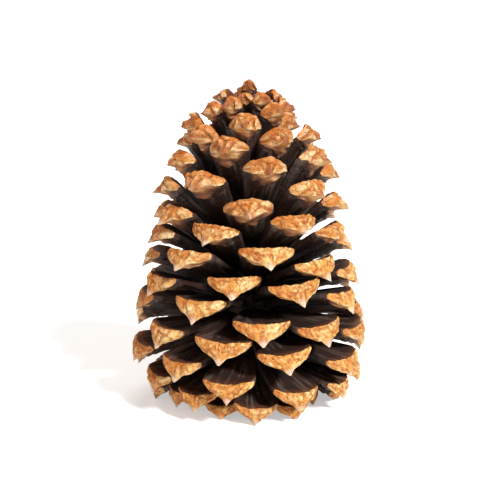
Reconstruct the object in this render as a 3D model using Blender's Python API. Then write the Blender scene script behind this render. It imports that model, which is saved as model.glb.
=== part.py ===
"""An open pine cone that stands on its base, tip up.

The cone is one woody body: seed scales in a golden-angle spiral, fused to the rachis they grow from.
Metres, +Z up. The origin is on the standing plane, under the axis. A scale at bearing 0 points along -Y.
"""

import math
import random
from typing import NamedTuple

import bmesh
import bpy
from mathutils import Vector

MM = 0.001

# The spiral, counted from the scale at the tip down to the last one round the stalk scar
SCALE_COUNT = 131
GOLDEN_ANGLE = math.radians(137.508)
FIRST_BEARING = math.radians(15.1)
SPIRAL_DRIFT = math.radians(16.0)
DRIFT_CENTRE = 67
DRIFT_SPAN = 60
SEED = 11


class Station(NamedTuple):
    """One station of the cone's form, in millimetres and degrees, at a scale's number.

    reach and height place the umbo, the boss in the middle of the scale's end. tilt is the rise of the
    scale's end above level. width and depth are those of the shield at its end, and rounding is how far
    its corners lie back from the middle of its edge. setback is how far the umbo stands out past that
    edge, prickle is its spine, lower_field is the length of the shield's underside, shoulder is the
    blade's thickness behind that, and root_height is where the scale leaves the rachis.
    """

    number: float
    reach: float
    height: float
    tilt: float
    width: float
    depth: float
    rounding: float
    setback: float
    prickle: float
    lower_field: float
    shoulder: float
    root_height: float


STATIONS = (
    Station(0, 1.8, 95.1, 86, 4.4, 2.0, 3.0, -2.8, 0.6, 4.5, 1.7, 86.5),
    Station(2, 4.6, 91.6, 82, 4.8, 2.2, 2.0, -2.6, 0.6, 4.8, 1.8, 82.0),
    Station(5, 8.2, 92.0, 77, 6.2, 2.8, 2.4, -3.0, 0.8, 6.4, 2.2, 78.0),
    Station(11, 12.8, 88.8, 71, 7.5, 3.6, 3.4, -3.2, 0.8, 8.0, 2.8, 72.0),
    Station(23, 18.9, 82.2, 63, 10.0, 4.4, 4.2, -2.8, 0.9, 9.2, 3.5, 62.0),
    Station(37, 26.0, 67.8, 49, 13.8, 5.0, 3.8, -1.4, 1.2, 9.6, 3.7, 50.3),
    Station(53, 30.2, 51.0, 26, 15.4, 5.0, 3.2, 0.3, 1.9, 8.6, 3.5, 39.8),
    Station(69, 33.0, 34.2, 8, 16.2, 4.7, 2.6, 1.0, 2.1, 8.0, 3.2, 32.4),
    Station(85, 35.6, 20.2, -4, 15.8, 4.3, 2.4, 1.2, 2.0, 7.2, 2.9, 25.6),
    Station(99, 33.8, 8.6, -12, 14.2, 3.8, 2.2, 1.2, 1.7, 6.6, 2.6, 19.6),
    Station(109, 28.6, 0.7, -17, 13.2, 3.2, 2.2, 1.0, 1.6, 6.0, 2.3, 15.2),
    Station(117, 24.6, 0.8, -20, 11.8, 3.0, 2.0, 0.8, 1.5, 5.5, 2.0, 11.8),
    Station(123, 19.0, 2.4, -24, 9.4, 2.6, 1.6, 0.6, 1.2, 4.5, 1.8, 9.2),
    Station(131, 11.5, 3.4, -30, 6.4, 2.0, 1.2, 0.4, 0.8, 3.0, 1.4, 6.4),
)


class Nudge(NamedTuple):
    """How far a scale stands from the rule: its bearing in degrees, its reach and height in millimetres."""

    bearing: float
    reach: float
    height: float


# The cone opened unevenly, and has lost one scale of its crown
NUDGES = {
    3: Nudge(0, -2.4, -1.0),
    5: Nudge(2, 0.0, -1.0),
    8: Nudge(-20, 0.0, -0.9),
    10: Nudge(26, 0.0, -0.6),
    11: Nudge(0, 0.3, -1.0),
    13: Nudge(25, 0.3, 0.0),
    14: Nudge(-18, 0.0, 0.0),
    15: Nudge(24, 0.0, -0.5),
    18: Nudge(26, -3.0, -1.0),
    19: Nudge(0, 1.6, -0.4),
    21: Nudge(-6, 0.0, 1.2),
    22: Nudge(0, 0.0, -2.1),
    23: Nudge(0, 0.0, -2.0),
    24: Nudge(0, 0.0, -0.7),
    26: Nudge(-4, -0.4, 1.2),
    29: Nudge(-3, -0.4, 1.8),
    34: Nudge(-5, 0.0, 1.0),
    42: Nudge(3, 0.0, -1.8),
    45: Nudge(-5, 1.0, -1.8),
    47: Nudge(0, 0.0, -1.3),
    50: Nudge(-4, 0.0, -0.3),
    55: Nudge(-2, 0.0, -1.4),
    60: Nudge(0, 0.0, -1.0),
    63: Nudge(0, 0.0, -1.5),
    68: Nudge(3, 0.0, 2.0),
    73: Nudge(4, 0.0, 1.8),
    76: Nudge(3, 0.0, -1.2),
    79: Nudge(-2, 0.0, -2.4),
    81: Nudge(4, 0.0, 1.0),
    84: Nudge(4, 0.0, 0.9),
    86: Nudge(0, 0.0, 2.6),
    87: Nudge(0, 0.5, -2.2),
    89: Nudge(5, 0.0, 1.2),
    94: Nudge(6, 1.5, 1.4),
    97: Nudge(-5, 0.0, -0.6),
    102: Nudge(2, 0.0, 0.0),
    105: Nudge(-3, 0.0, 0.9),
    107: Nudge(6, 2.0, 3.6),
    110: Nudge(4, 0.0, 0.9),
    113: Nudge(0, 0.0, 2.4),
}
UNMOVED = Nudge(0, 0.0, 0.0)
LOST_SCALES = (16,)

# The natural spread of the scales about the rule
REACH_SPREAD = 0.5 * MM
HEIGHT_SPREAD = 0.35 * MM
WIDTH_SPREAD = 0.05
ROLL_SPREAD = math.radians(4.0)
SWAY_SPREAD = math.radians(2.5)

# The blade of a scale
ROOT_SINK = 2.4 * MM
ROOT_HALF_WIDTH = 1.9 * MM
ROOT_THICKNESS = 2.2 * MM
ROOT_WIDTH_SHARE = 0.6
NECK_SHARE = 0.42
NECK_THICKNESS = 2.2 * MM
SIDE_THICKNESS = 1.1 * MM
WIDEST_SHARE = 0.86
WIDENING_POWER = 0.9
ARCH_SHARE = 0.5
CUP_SHARE = 0.045
EDGE_POWER = 2.5
KEEL_RIM = 1.7 * MM
KEEL_POWER = 1.9
PRICKLE_LEAN = 0.35
UMBO_SHARE = 0.86
UMBO_THICKNESS = 1.6 * MM

# Where the points of a scale's rings lie across it, from its left side at -1 to its right side at 1
NARROW_COLUMNS = (-1.0, 1.0)
WIDE_COLUMNS = (-1.0, -0.55, 0.0, 0.55, 1.0)
KEEL_COLUMNS = (-1.0, -0.62, -0.17, 0.17, 0.62, 1.0)

# The places round a ring run over its top from 0 to TOP_PLACES, and back under it from BOTTOM_START
TOP_PLACES = 0.45
BOTTOM_START = 0.5
PAST_THE_RING = 2.0

# The rachis: height and radius from the stalk scar up to the tip
RACHIS_OUTLINE = (
    (3.2, 3.6),
    (8.0, 5.6),
    (21.0, 7.2),
    (37.0, 7.0),
    (53.0, 5.8),
    (67.0, 4.4),
    (79.0, 3.0),
    (88.0, 1.8),
)
RACHIS_SIDES = 14

WOOD_COLOUR = (0.52, 0.23, 0.07, 1.0)
WOOD_ROUGHNESS = 0.55
SHARP_EDGE_ANGLE = math.radians(38.0)
WELD_DISTANCE = 0.002 * MM
FLAT_ANGLE = math.radians(0.5)


def clear_scene():
    """Removes every object from the scene."""
    for item in list(bpy.data.objects):
        bpy.data.objects.remove(item, do_unlink=True)


def wood_material():
    """Makes the tan wood of the cone."""
    material = bpy.data.materials.new("cone_wood")
    material.use_nodes = True
    shader = material.node_tree.nodes["Principled BSDF"]
    shader.inputs["Base Color"].default_value = WOOD_COLOUR
    shader.inputs["Roughness"].default_value = WOOD_ROUGHNESS
    shader.inputs["Metallic"].default_value = 0.0
    return material


def station_at(number):
    """Blends the two stations on either side of a scale's number."""
    for low, high in zip(STATIONS, STATIONS[1:]):
        if number <= high.number:
            share = (number - low.number) / (high.number - low.number)
            return Station(*(a + (b - a) * share for a, b in zip(low, high)))
    return STATIONS[-1]


def rachis_radius(height):
    """Gives the rachis's radius at a height."""
    for (low_z, low_r), (high_z, high_r) in zip(RACHIS_OUTLINE, RACHIS_OUTLINE[1:]):
        if height <= high_z * MM:
            share = max(0.0, (height / MM - low_z) / (high_z - low_z))
            return (low_r + (high_r - low_r) * share) * MM
    return RACHIS_OUTLINE[-1][1] * MM


class Scale:
    """One seed scale: its place on the spiral and the centre line that its rings are set along.

    Places on the centre line are Vectors of distance from the axis and height.
    """

    def __init__(self, number, draw):
        self.name = f"scale_{number:03d}"
        station = station_at(number)
        nudge = NUDGES.get(number, UNMOVED)
        drift = SPIRAL_DRIFT * ((number - DRIFT_CENTRE) / DRIFT_SPAN) ** 2
        self.bearing = FIRST_BEARING - GOLDEN_ANGLE * number - drift + math.radians(nudge.bearing)
        reach = (station.reach + nudge.reach) * MM + draw.uniform(-REACH_SPREAD, REACH_SPREAD)
        height = (station.height + nudge.height) * MM + draw.uniform(-HEIGHT_SPREAD, HEIGHT_SPREAD)
        self.half_width = station.width * MM / 2 * (1 + draw.uniform(-WIDTH_SPREAD, WIDTH_SPREAD))
        self.roll = draw.uniform(-ROLL_SPREAD, ROLL_SPREAD)
        self.sway = draw.uniform(-SWAY_SPREAD, SWAY_SPREAD)
        self.depth = station.depth * MM
        self.setback = station.setback * MM
        self.prickle = station.prickle * MM
        self.shoulder = station.shoulder * MM
        tilt = math.radians(station.tilt)
        self.end_along = Vector((math.cos(tilt), math.sin(tilt)))
        self.end_up = Vector((-math.sin(tilt), math.cos(tilt)))
        umbo = Vector((reach, height))
        self.edge = umbo - self.end_along * self.setback + self.end_up * self.depth
        root_height = station.root_height * MM
        self.root = Vector((max(0.0, rachis_radius(root_height) - ROOT_SINK), root_height))
        self.length = (self.edge - self.root).length
        self.rounding_share = station.rounding * MM / self.length
        self.middle = self.edge - self.end_along * self.length * ARCH_SHARE
        self.root_half_width = min(ROOT_HALF_WIDTH, self.half_width * ROOT_WIDTH_SHARE)
        self.shoulder_share = 1.0 - station.lower_field * MM / self.length

    def point(self, share, across, up, outward=0.0):
        """Turns a place on the scale into a point of the cone.

        share runs from 0 at the root to 1 at the edge, across is the distance to the right of the centre
        line, up the distance above it, and outward the distance further along the end of the scale.
        """
        rest = 1.0 - share
        centre = self.root * rest * rest + self.middle * 2 * rest * share + self.edge * share * share
        along = ((self.middle - self.root) * rest + (self.edge - self.middle) * share).normalized()
        above = Vector((-along.y, along.x))
        lifted = across * math.sin(self.roll) + up * math.cos(self.roll)
        sideways = across * math.cos(self.roll) - up * math.sin(self.roll)
        sideways += self.length * share * math.tan(self.sway)
        place = centre + above * lifted + self.end_along * outward
        turn_sin = math.sin(self.bearing)
        turn_cos = math.cos(self.bearing)
        return Vector((
            place.x * turn_sin + sideways * turn_cos,
            -place.x * turn_cos + sideways * turn_sin,
            place.y,
        ))

    def half_width_at(self, share):
        """Gives half the blade's width at a share of its length."""
        spread = min(1.0, share / WIDEST_SHARE) ** WIDENING_POWER
        return self.root_half_width + (self.half_width - self.root_half_width) * spread

    def cup_at(self, share, column):
        """Gives how far the blade's sides curl up above its middle."""
        return 2 * self.half_width * CUP_SHARE * share * share * column * column

    def edge_share(self, column):
        """Gives how far along the scale its rounded edge lies at a column."""
        return 1 - self.rounding_share * abs(column) ** EDGE_POWER

    def keel_drop(self, column):
        """Gives how far below the edge the keel lies at a column, without the prickle."""
        return KEEL_RIM + (self.depth - KEEL_RIM) * (1 - abs(column) ** KEEL_POWER)

    def blade_ring(self, share, columns, thickness, side_thickness):
        """Gives one closed ring round the blade, each point with its place round the ring."""
        half = self.half_width_at(share)
        ring = []
        for column in columns:
            ring.append((top_place(column), self.point(share, half * column, self.cup_at(share, column))))
        for column in reversed(columns):
            deep = thickness - (thickness - side_thickness) * column * column
            up = self.cup_at(share, column) - deep
            ring.append((bottom_place(column), self.point(share, half * column, up)))
        return ring

    def end_ring(self):
        """Gives the ring at the scale's end: its edge above, and the keel with the prickle below."""
        ring = []
        for column in WIDE_COLUMNS:
            share = self.edge_share(column)
            up = self.cup_at(share, column)
            ring.append((top_place(column), self.point(share, self.half_width * column, up)))
        for column in reversed(KEEL_COLUMNS):
            share = self.edge_share(column)
            outward = self.setback * (1 - abs(column) ** EDGE_POWER)
            up = self.cup_at(share, column) - self.keel_drop(column)
            ring.append((bottom_place(column), self.point(share, self.half_width * column, up, outward)))
        return ring

    def umbo_points(self):
        """Gives the umbo's three points: on the shield above the keel, the prickle's tip, and under it."""
        above = self.point(1.0, 0.0, -self.depth * UMBO_SHARE, self.setback * UMBO_SHARE)
        tip = self.point(1.0, 0.0, -self.depth - self.prickle, self.setback + self.prickle * PRICKLE_LEAN)
        under = self.point(1.0, 0.0, -self.depth * UMBO_SHARE, self.setback - UMBO_THICKNESS)
        return above, tip, under

    def rings(self):
        """Gives the scale's rings, from the one sunk in the rachis to the one at its end."""
        return (
            self.blade_ring(0.0, NARROW_COLUMNS, ROOT_THICKNESS, ROOT_THICKNESS),
            self.blade_ring(NECK_SHARE, NARROW_COLUMNS, NECK_THICKNESS, NECK_THICKNESS),
            self.blade_ring(self.shoulder_share, WIDE_COLUMNS, self.shoulder, SIDE_THICKNESS),
            self.end_ring(),
        )


def top_place(column):
    """Gives the place round its ring of a point on the scale's top."""
    return TOP_PLACES * (column + 1) / 2


def bottom_place(column):
    """Gives the place round its ring of a point on the scale's underside."""
    return BOTTOM_START + TOP_PLACES * (1 - column) / 2


def bridge_rings(mesh, ring, next_ring):
    """Joins two rings with triangles, always stepping along the one that is behind."""
    a_count = len(ring)
    b_count = len(next_ring)
    a = 0
    b = 0
    while a < a_count or b < b_count:
        a_place = ring[a + 1][0] if a + 1 < a_count else 1.0 + (a - a_count + 1)
        b_place = next_ring[b + 1][0] if b + 1 < b_count else 1.0 + (b - b_count + 1)
        corner = ring[a % a_count][1]
        next_corner = next_ring[b % b_count][1]
        if b >= b_count or (a < a_count and a_place <= b_place):
            a += 1
            mesh.faces.new((corner, ring[a % a_count][1], next_corner))
        else:
            b += 1
            mesh.faces.new((corner, next_ring[b % b_count][1], next_corner))


def cap_end(mesh, ring):
    """Fills the end ring between its edge and its keel."""
    upper = [(TOP_PLACES - place, vertex) for place, vertex in ring if place < BOTTOM_START]
    lower = [(place - BOTTOM_START, vertex) for place, vertex in ring if place >= BOTTOM_START]
    upper.reverse()
    a = 0
    b = 0
    while a + 1 < len(upper) or b + 1 < len(lower):
        a_next = upper[a + 1][0] if a + 1 < len(upper) else PAST_THE_RING
        b_next = lower[b + 1][0] if b + 1 < len(lower) else PAST_THE_RING
        if a_next <= b_next:
            mesh.faces.new((upper[a][1], upper[a + 1][1], lower[b][1]))
            a += 1
        else:
            mesh.faces.new((upper[a][1], lower[b + 1][1], lower[b][1]))
            b += 1


def raise_umbo(mesh, end_ring, points):
    """Stands the prickle on the two points of the keel beside the middle, in the two faces they share."""
    keel = [vertex for place, vertex in end_ring if place >= BOTTOM_START]
    right = keel[len(keel) // 2 - 1]
    left = keel[len(keel) // 2]
    middle_edge = next(edge for edge in right.link_edges if left in edge.verts)
    above, tip, under = (mesh.verts.new(point) for point in points)
    for face in list(middle_edge.link_faces):
        far = next(vertex for vertex in face.verts if vertex not in (left, right))
        near = above if far in [vertex for place, vertex in end_ring] else under
        for side in (left, right):
            mesh.faces.new((far, side, near))
            mesh.faces.new((near, side, tip))
    bmesh.ops.delete(mesh, geom=[middle_edge], context="EDGES")


def make_scale(scale, collection):
    """Makes one closed scale in the collection."""
    mesh = bmesh.new()
    rings = [[(place, mesh.verts.new(point)) for place, point in ring] for ring in scale.rings()]
    for ring, next_ring in zip(rings, rings[1:]):
        bridge_rings(mesh, ring, next_ring)
    mesh.faces.new([vertex for place, vertex in rings[0]])
    cap_end(mesh, rings[-1])
    raise_umbo(mesh, rings[-1], scale.umbo_points())
    bmesh.ops.triangulate(mesh, faces=mesh.faces[:])
    bmesh.ops.recalc_face_normals(mesh, faces=mesh.faces[:])
    data = bpy.data.meshes.new(scale.name)
    mesh.to_mesh(data)
    mesh.free()
    collection.objects.link(bpy.data.objects.new(scale.name, data))


def make_rachis():
    """Turns the rachis from its outline."""
    mesh = bmesh.new()
    rings = []
    for height, radius in RACHIS_OUTLINE:
        ring = []
        for side in range(RACHIS_SIDES):
            angle = 2 * math.pi * side / RACHIS_SIDES
            ring.append(mesh.verts.new((
                radius * MM * math.cos(angle),
                radius * MM * math.sin(angle),
                height * MM,
            )))
        rings.append(ring)
    for ring, next_ring in zip(rings, rings[1:]):
        for side in range(RACHIS_SIDES):
            other = (side + 1) % RACHIS_SIDES
            mesh.faces.new((ring[side], ring[other], next_ring[other], next_ring[side]))
    mesh.faces.new(list(reversed(rings[0])))
    mesh.faces.new(rings[-1])
    bmesh.ops.triangulate(mesh, faces=mesh.faces[:])
    data = bpy.data.meshes.new("pine_cone")
    mesh.to_mesh(data)
    mesh.free()
    rachis = bpy.data.objects.new("pine_cone", data)
    bpy.context.scene.collection.objects.link(rachis)
    return rachis


def fuse(body, collection):
    """Joins every object of the collection to the body with one union, and applies it."""
    union = body.modifiers.new("fuse_scales", "BOOLEAN")
    union.operation = "UNION"
    union.operand_type = "COLLECTION"
    union.collection = collection
    union.solver = "EXACT"
    graph = bpy.context.evaluated_depsgraph_get()
    joined = bpy.data.meshes.new_from_object(body.evaluated_get(graph))
    body.modifiers.clear()
    body.data = joined
    for item in list(collection.objects):
        bpy.data.objects.remove(item, do_unlink=True)
    bpy.data.collections.remove(collection)


def shell_faces(face, seen):
    """Gives the faces of the closed shell that holds a face, and marks them as seen."""
    shell = []
    waiting = [face]
    seen.add(face)
    while waiting:
        current = waiting.pop()
        shell.append(current)
        for edge in current.edges:
            for neighbour in edge.link_faces:
                if neighbour not in seen:
                    seen.add(neighbour)
                    waiting.append(neighbour)
    return shell


def keep_outer_shell(mesh):
    """Fills any hollow that the union sealed: drops every shell but the largest, and welds the rest."""
    seen = set()
    shells = [shell_faces(face, seen) for face in mesh.faces if face not in seen]
    shells.sort(key=len, reverse=True)
    spare = [face for shell in shells[1:] for face in shell]
    bmesh.ops.delete(mesh, geom=spare, context="FACES")
    bmesh.ops.remove_doubles(mesh, verts=mesh.verts[:], dist=WELD_DISTANCE)


def level_the_base(mesh):
    """Cuts the lowest prickles off flat at the standing plane."""
    cut = bmesh.ops.bisect_plane(
        mesh,
        geom=mesh.verts[:] + mesh.edges[:] + mesh.faces[:],
        plane_co=(0.0, 0.0, 0.0),
        plane_no=(0.0, 0.0, -1.0),
        clear_outer=True,
    )
    rim = [item for item in cut["geom_cut"] if isinstance(item, bmesh.types.BMEdge)]
    bmesh.ops.holes_fill(mesh, edges=rim)


def build_cone():
    """Builds the cone: its scales along the spiral, fused to the rachis and levelled at the base."""
    draw = random.Random(SEED)
    collection = bpy.data.collections.new("scales")
    bpy.context.scene.collection.children.link(collection)
    scales = [Scale(number, draw) for number in range(SCALE_COUNT)]
    for number, scale in enumerate(scales):
        if number not in LOST_SCALES:
            make_scale(scale, collection)
    cone = make_rachis()
    fuse(cone, collection)
    mesh = bmesh.new()
    mesh.from_mesh(cone.data)
    keep_outer_shell(mesh)
    level_the_base(mesh)
    bmesh.ops.dissolve_limit(mesh, angle_limit=FLAT_ANGLE, verts=mesh.verts[:], edges=mesh.edges[:])
    bmesh.ops.triangulate(mesh, faces=mesh.faces[:])
    mesh.to_mesh(cone.data)
    mesh.free()
    cone.data.materials.clear()
    cone.data.materials.append(wood_material())
    cone.data.shade_smooth()
    cone.data.set_sharp_from_angle(angle=SHARP_EDGE_ANGLE)
    return cone


clear_scene()
build_cone()
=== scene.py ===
"""The looks of an open pine cone that stands on its base, tip up, on a pale floor.

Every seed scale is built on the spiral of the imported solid, finer than it: its blade with the hollow that
the seeds lay in, and its shield with the lobes, keel, umbo and prickle. The scales are gathered in
spirals that run from the crown to the base, and these and the rachis stand for the solid.
"""

import itertools
import logging
import math
import random
from dataclasses import astuple, dataclass, field
from enum import Enum
from typing import Union

import bpy
import numpy as np
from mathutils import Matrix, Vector


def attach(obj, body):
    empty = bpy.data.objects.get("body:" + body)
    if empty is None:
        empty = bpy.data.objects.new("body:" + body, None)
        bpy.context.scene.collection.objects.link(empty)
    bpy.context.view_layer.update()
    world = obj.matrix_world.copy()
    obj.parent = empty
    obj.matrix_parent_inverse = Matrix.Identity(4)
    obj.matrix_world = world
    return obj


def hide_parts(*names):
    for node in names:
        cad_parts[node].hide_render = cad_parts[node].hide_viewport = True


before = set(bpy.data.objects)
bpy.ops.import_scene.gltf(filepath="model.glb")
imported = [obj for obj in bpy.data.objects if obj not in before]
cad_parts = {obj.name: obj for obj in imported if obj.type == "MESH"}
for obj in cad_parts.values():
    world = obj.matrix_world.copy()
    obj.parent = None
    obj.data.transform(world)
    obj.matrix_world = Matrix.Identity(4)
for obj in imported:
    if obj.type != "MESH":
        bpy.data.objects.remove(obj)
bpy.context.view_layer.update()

LOG = logging.getLogger("pine_cone")
MM = 0.001
BODY = "root"
NODE = "pine_cone"
SHARP_ANGLE = math.radians(55)
WHITE = (1.0, 1.0, 1.0, 1.0)
Array = np.ndarray
Triple = tuple[float, float, float]


class Mask(Enum):
    """The values that the wood's shader reads from a mesh, each from 0 to 1 at a point."""

    UPPER_FIELD = "upper_field"
    LOWER_FIELD = "lower_field"
    PRICKLE = "prickle"
    UMBO = "umbo"
    # How pale the relief makes the wood: partly paler wood, partly painted highlight and painted shade.
    RELIEF_TONE_AND_SHADING = "relief"
    SHARE = "share"
    TONE = "tone"
    CROWN = "crown"
    SIDE = "side"
    TOP = "top"


def smooth_step(value: Array) -> Array:
    """Eases a value from 0 to 1, and holds it there outside that range.

    Args:
        value: The plain value.

    Returns:
        The eased value.
    """
    held = np.clip(value, 0.0, 1.0)
    return held * held * (3.0 - 2.0 * held)


@dataclass(frozen=True)
class SizeRange:
    """A size that changes down the cone, from the shields of the crown to those of the skirt below it."""

    crown: float
    skirt: float

    def at(self, share: float) -> float:
        """Gives the size at a share of the way, 0 on the crown and 1 on the skirt."""
        return self.crown + (self.skirt - self.crown) * share


class SeededNoise:
    """Smooth noise through space, the same on every run."""

    CELLS = 256
    LUMP_SCALE = 1.9
    LUMP_FLOOR = -0.5
    LUMP_TOP = 0.6

    def __init__(self, seed: int) -> None:
        """Draws the slopes at the noise's cell corners.

        Args:
            seed: The number that fixes the noise.
        """
        draw = np.random.default_rng(seed)
        self.order = draw.permutation(self.CELLS)
        slopes = draw.normal(size=(self.CELLS, 3))
        self.slopes = slopes / np.linalg.norm(slopes, axis=1, keepdims=True)

    def at(self, points: Array) -> Array:
        """Gives the noise at points.

        Args:
            points: Places, with three values in the last axis.

        Returns:
            Values from about -0.7 to 0.7.
        """
        cell = np.floor(points).astype(int)
        local = points - cell
        fade = local**3 * (local * (local * 6 - 15) + 10)
        total = np.zeros(points.shape[:-1])
        for corner in itertools.product((0, 1), repeat=3):
            place = (cell + corner) % self.CELLS
            key = self.order[place[..., 0]]
            key = self.order[(key + place[..., 1]) % self.CELLS]
            key = self.order[(key + place[..., 2]) % self.CELLS]
            weight = np.prod(np.where(np.array(corner) == 1, fade, 1 - fade), axis=-1)
            total += weight * np.sum(self.slopes[key] * (local - corner), axis=-1)
        return total

    def layered(self, points: Array, layers: int) -> Array:
        """Adds up layers of noise, each half as strong and twice as fine as the one before.

        Args:
            points: Places, with three values in the last axis.
            layers: How many layers there are.

        Returns:
            Values from about -1 to 1.
        """
        return sum(self.at(points * 2**layer) / 2**layer for layer in range(layers))

    def lumps(self, points: Array, layers: int) -> Array:
        """Adds up layers of rounded lumps with sharp creases between them.

        Args:
            points: Places, with three values in the last axis.
            layers: How many layers there are.

        Returns:
            Values from about -0.5 in the creases to 0.6 on the lumps.
        """
        total = sum(np.abs(self.at(points * 2**layer)) / 2**layer for layer in range(layers))
        return np.clip(self.LUMP_SCALE * total + self.LUMP_FLOOR, self.LUMP_FLOOR, self.LUMP_TOP)


NOISE = SeededNoise(seed=23)


class Layer(Enum):
    """The uses of the noise on a scale, each with the step that sets one scale apart from the next."""

    LOBES = 0.37
    FOLDS = 0.41
    KNOBS = 0.47
    CRUMBS = 0.53
    FAN = 0.61
    EDGE = 0.71
    KEEL = 0.93
    RIBS = 0.29 * MM

    def places(self, number: int, right: Array, along: Array, size: float = 1.0) -> Array:
        """Gives the places at which a scale reads the noise.

        Args:
            number: The scale's number.
            right: The places' first values.
            along: Their second values.
            size: The size that one cell of the noise has in the same measure.

        Returns:
            The places, with three values in the last axis.
        """
        return np.stack(np.broadcast_arrays(right, along, number * self.value), axis=-1) / size


@dataclass(frozen=True)
class Station:
    """One station of the cone's form, in millimetres and degrees, at a scale's number.

    reach and height place the umbo, the boss in the middle of the scale's end. tilt is the rise of the
    scale's end above level. width and depth are those of the shield, and rounding is how far its corners
    lie back from the middle of its edge. setback is how far the umbo stands out past that edge, prickle
    is its spine, lower_field is the length of the shield's underside, shoulder is the blade's thickness
    behind that, and root_height is where the scale leaves the rachis.
    """

    number: float
    reach: float
    height: float
    tilt: float
    width: float
    depth: float
    rounding: float
    setback: float
    prickle: float
    lower_field: float
    shoulder: float
    root_height: float

    def towards(self, other: "Station", share: float) -> "Station":
        """Blends this station with the next one.

        Args:
            other: The next station.
            share: How far towards it, from 0 to 1.

        Returns:
            The blended station.
        """
        pairs = zip(astuple(self), astuple(other))
        return Station(*(here + (there - here) * share for here, there in pairs))


@dataclass(frozen=True)
class Nudge:
    """How far a scale stands from the rule: its bearing in degrees, its reach and height in millimetres."""

    bearing: float = 0.0
    reach: float = 0.0
    height: float = 0.0


@dataclass(frozen=True)
class Rachis:
    """The cone's axis, turned from its outline, with the dark rough skin between the scales."""

    outline: tuple[tuple[float, float], ...] = (
        (3.2, 3.6),
        (8.0, 5.6),
        (21.0, 7.2),
        (37.0, 7.0),
        (53.0, 5.8),
        (67.0, 4.4),
        (79.0, 3.0),
        (88.0, 1.8),
    )
    sides: int = 64
    rows: int = 120
    roughness_depth: float = 0.35 * MM
    roughness_size: float = 1.6 * MM
    roughness_layers: int = 3

    def radius_at(self, height: Array) -> Array:
        """Gives the radius at a height, both in metres."""
        heights, radii = zip(*self.outline)
        return np.interp(np.asarray(height) / MM, heights, radii) * MM

    def ring(self, radius: Array, angle: Array, height: Array) -> Array:
        """Gives the points at a distance, an angle and a height, with x, y and z in the last axis."""
        return np.stack(np.broadcast_arrays(radius * np.cos(angle), radius * np.sin(angle), height), axis=-1)

    def build(self) -> bpy.types.Object:
        """Builds the rachis.

        Returns:
            The rachis's object.
        """
        low, high = self.outline[0][0] * MM, self.outline[-1][0] * MM
        height = np.linspace(low, high, self.rows)[:, None]
        angle = np.linspace(0, 2 * math.pi, self.sides, endpoint=False)[None, :]
        plain = self.radius_at(height)
        places = self.ring(plain, angle, height) / self.roughness_size
        rough = NOISE.layered(places, self.roughness_layers) * self.roughness_depth
        points = self.ring(plain + rough, angle, height).reshape(-1, 3)
        index = np.arange(self.rows * self.sides).reshape(self.rows, self.sides)
        beside = np.roll(index, -1, axis=1)
        sides = np.stack((index[:-1], beside[:-1], beside[1:], index[1:]), axis=-1).reshape(-1, 4)
        faces = [tuple(face) for face in sides.tolist()]
        faces.append(tuple(reversed(index[0].tolist())))
        faces.append(tuple(index[-1].tolist()))
        masks = {mask: np.zeros(len(points)) for mask in Mask}
        return make_object("rachis", points, faces, masks)


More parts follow.
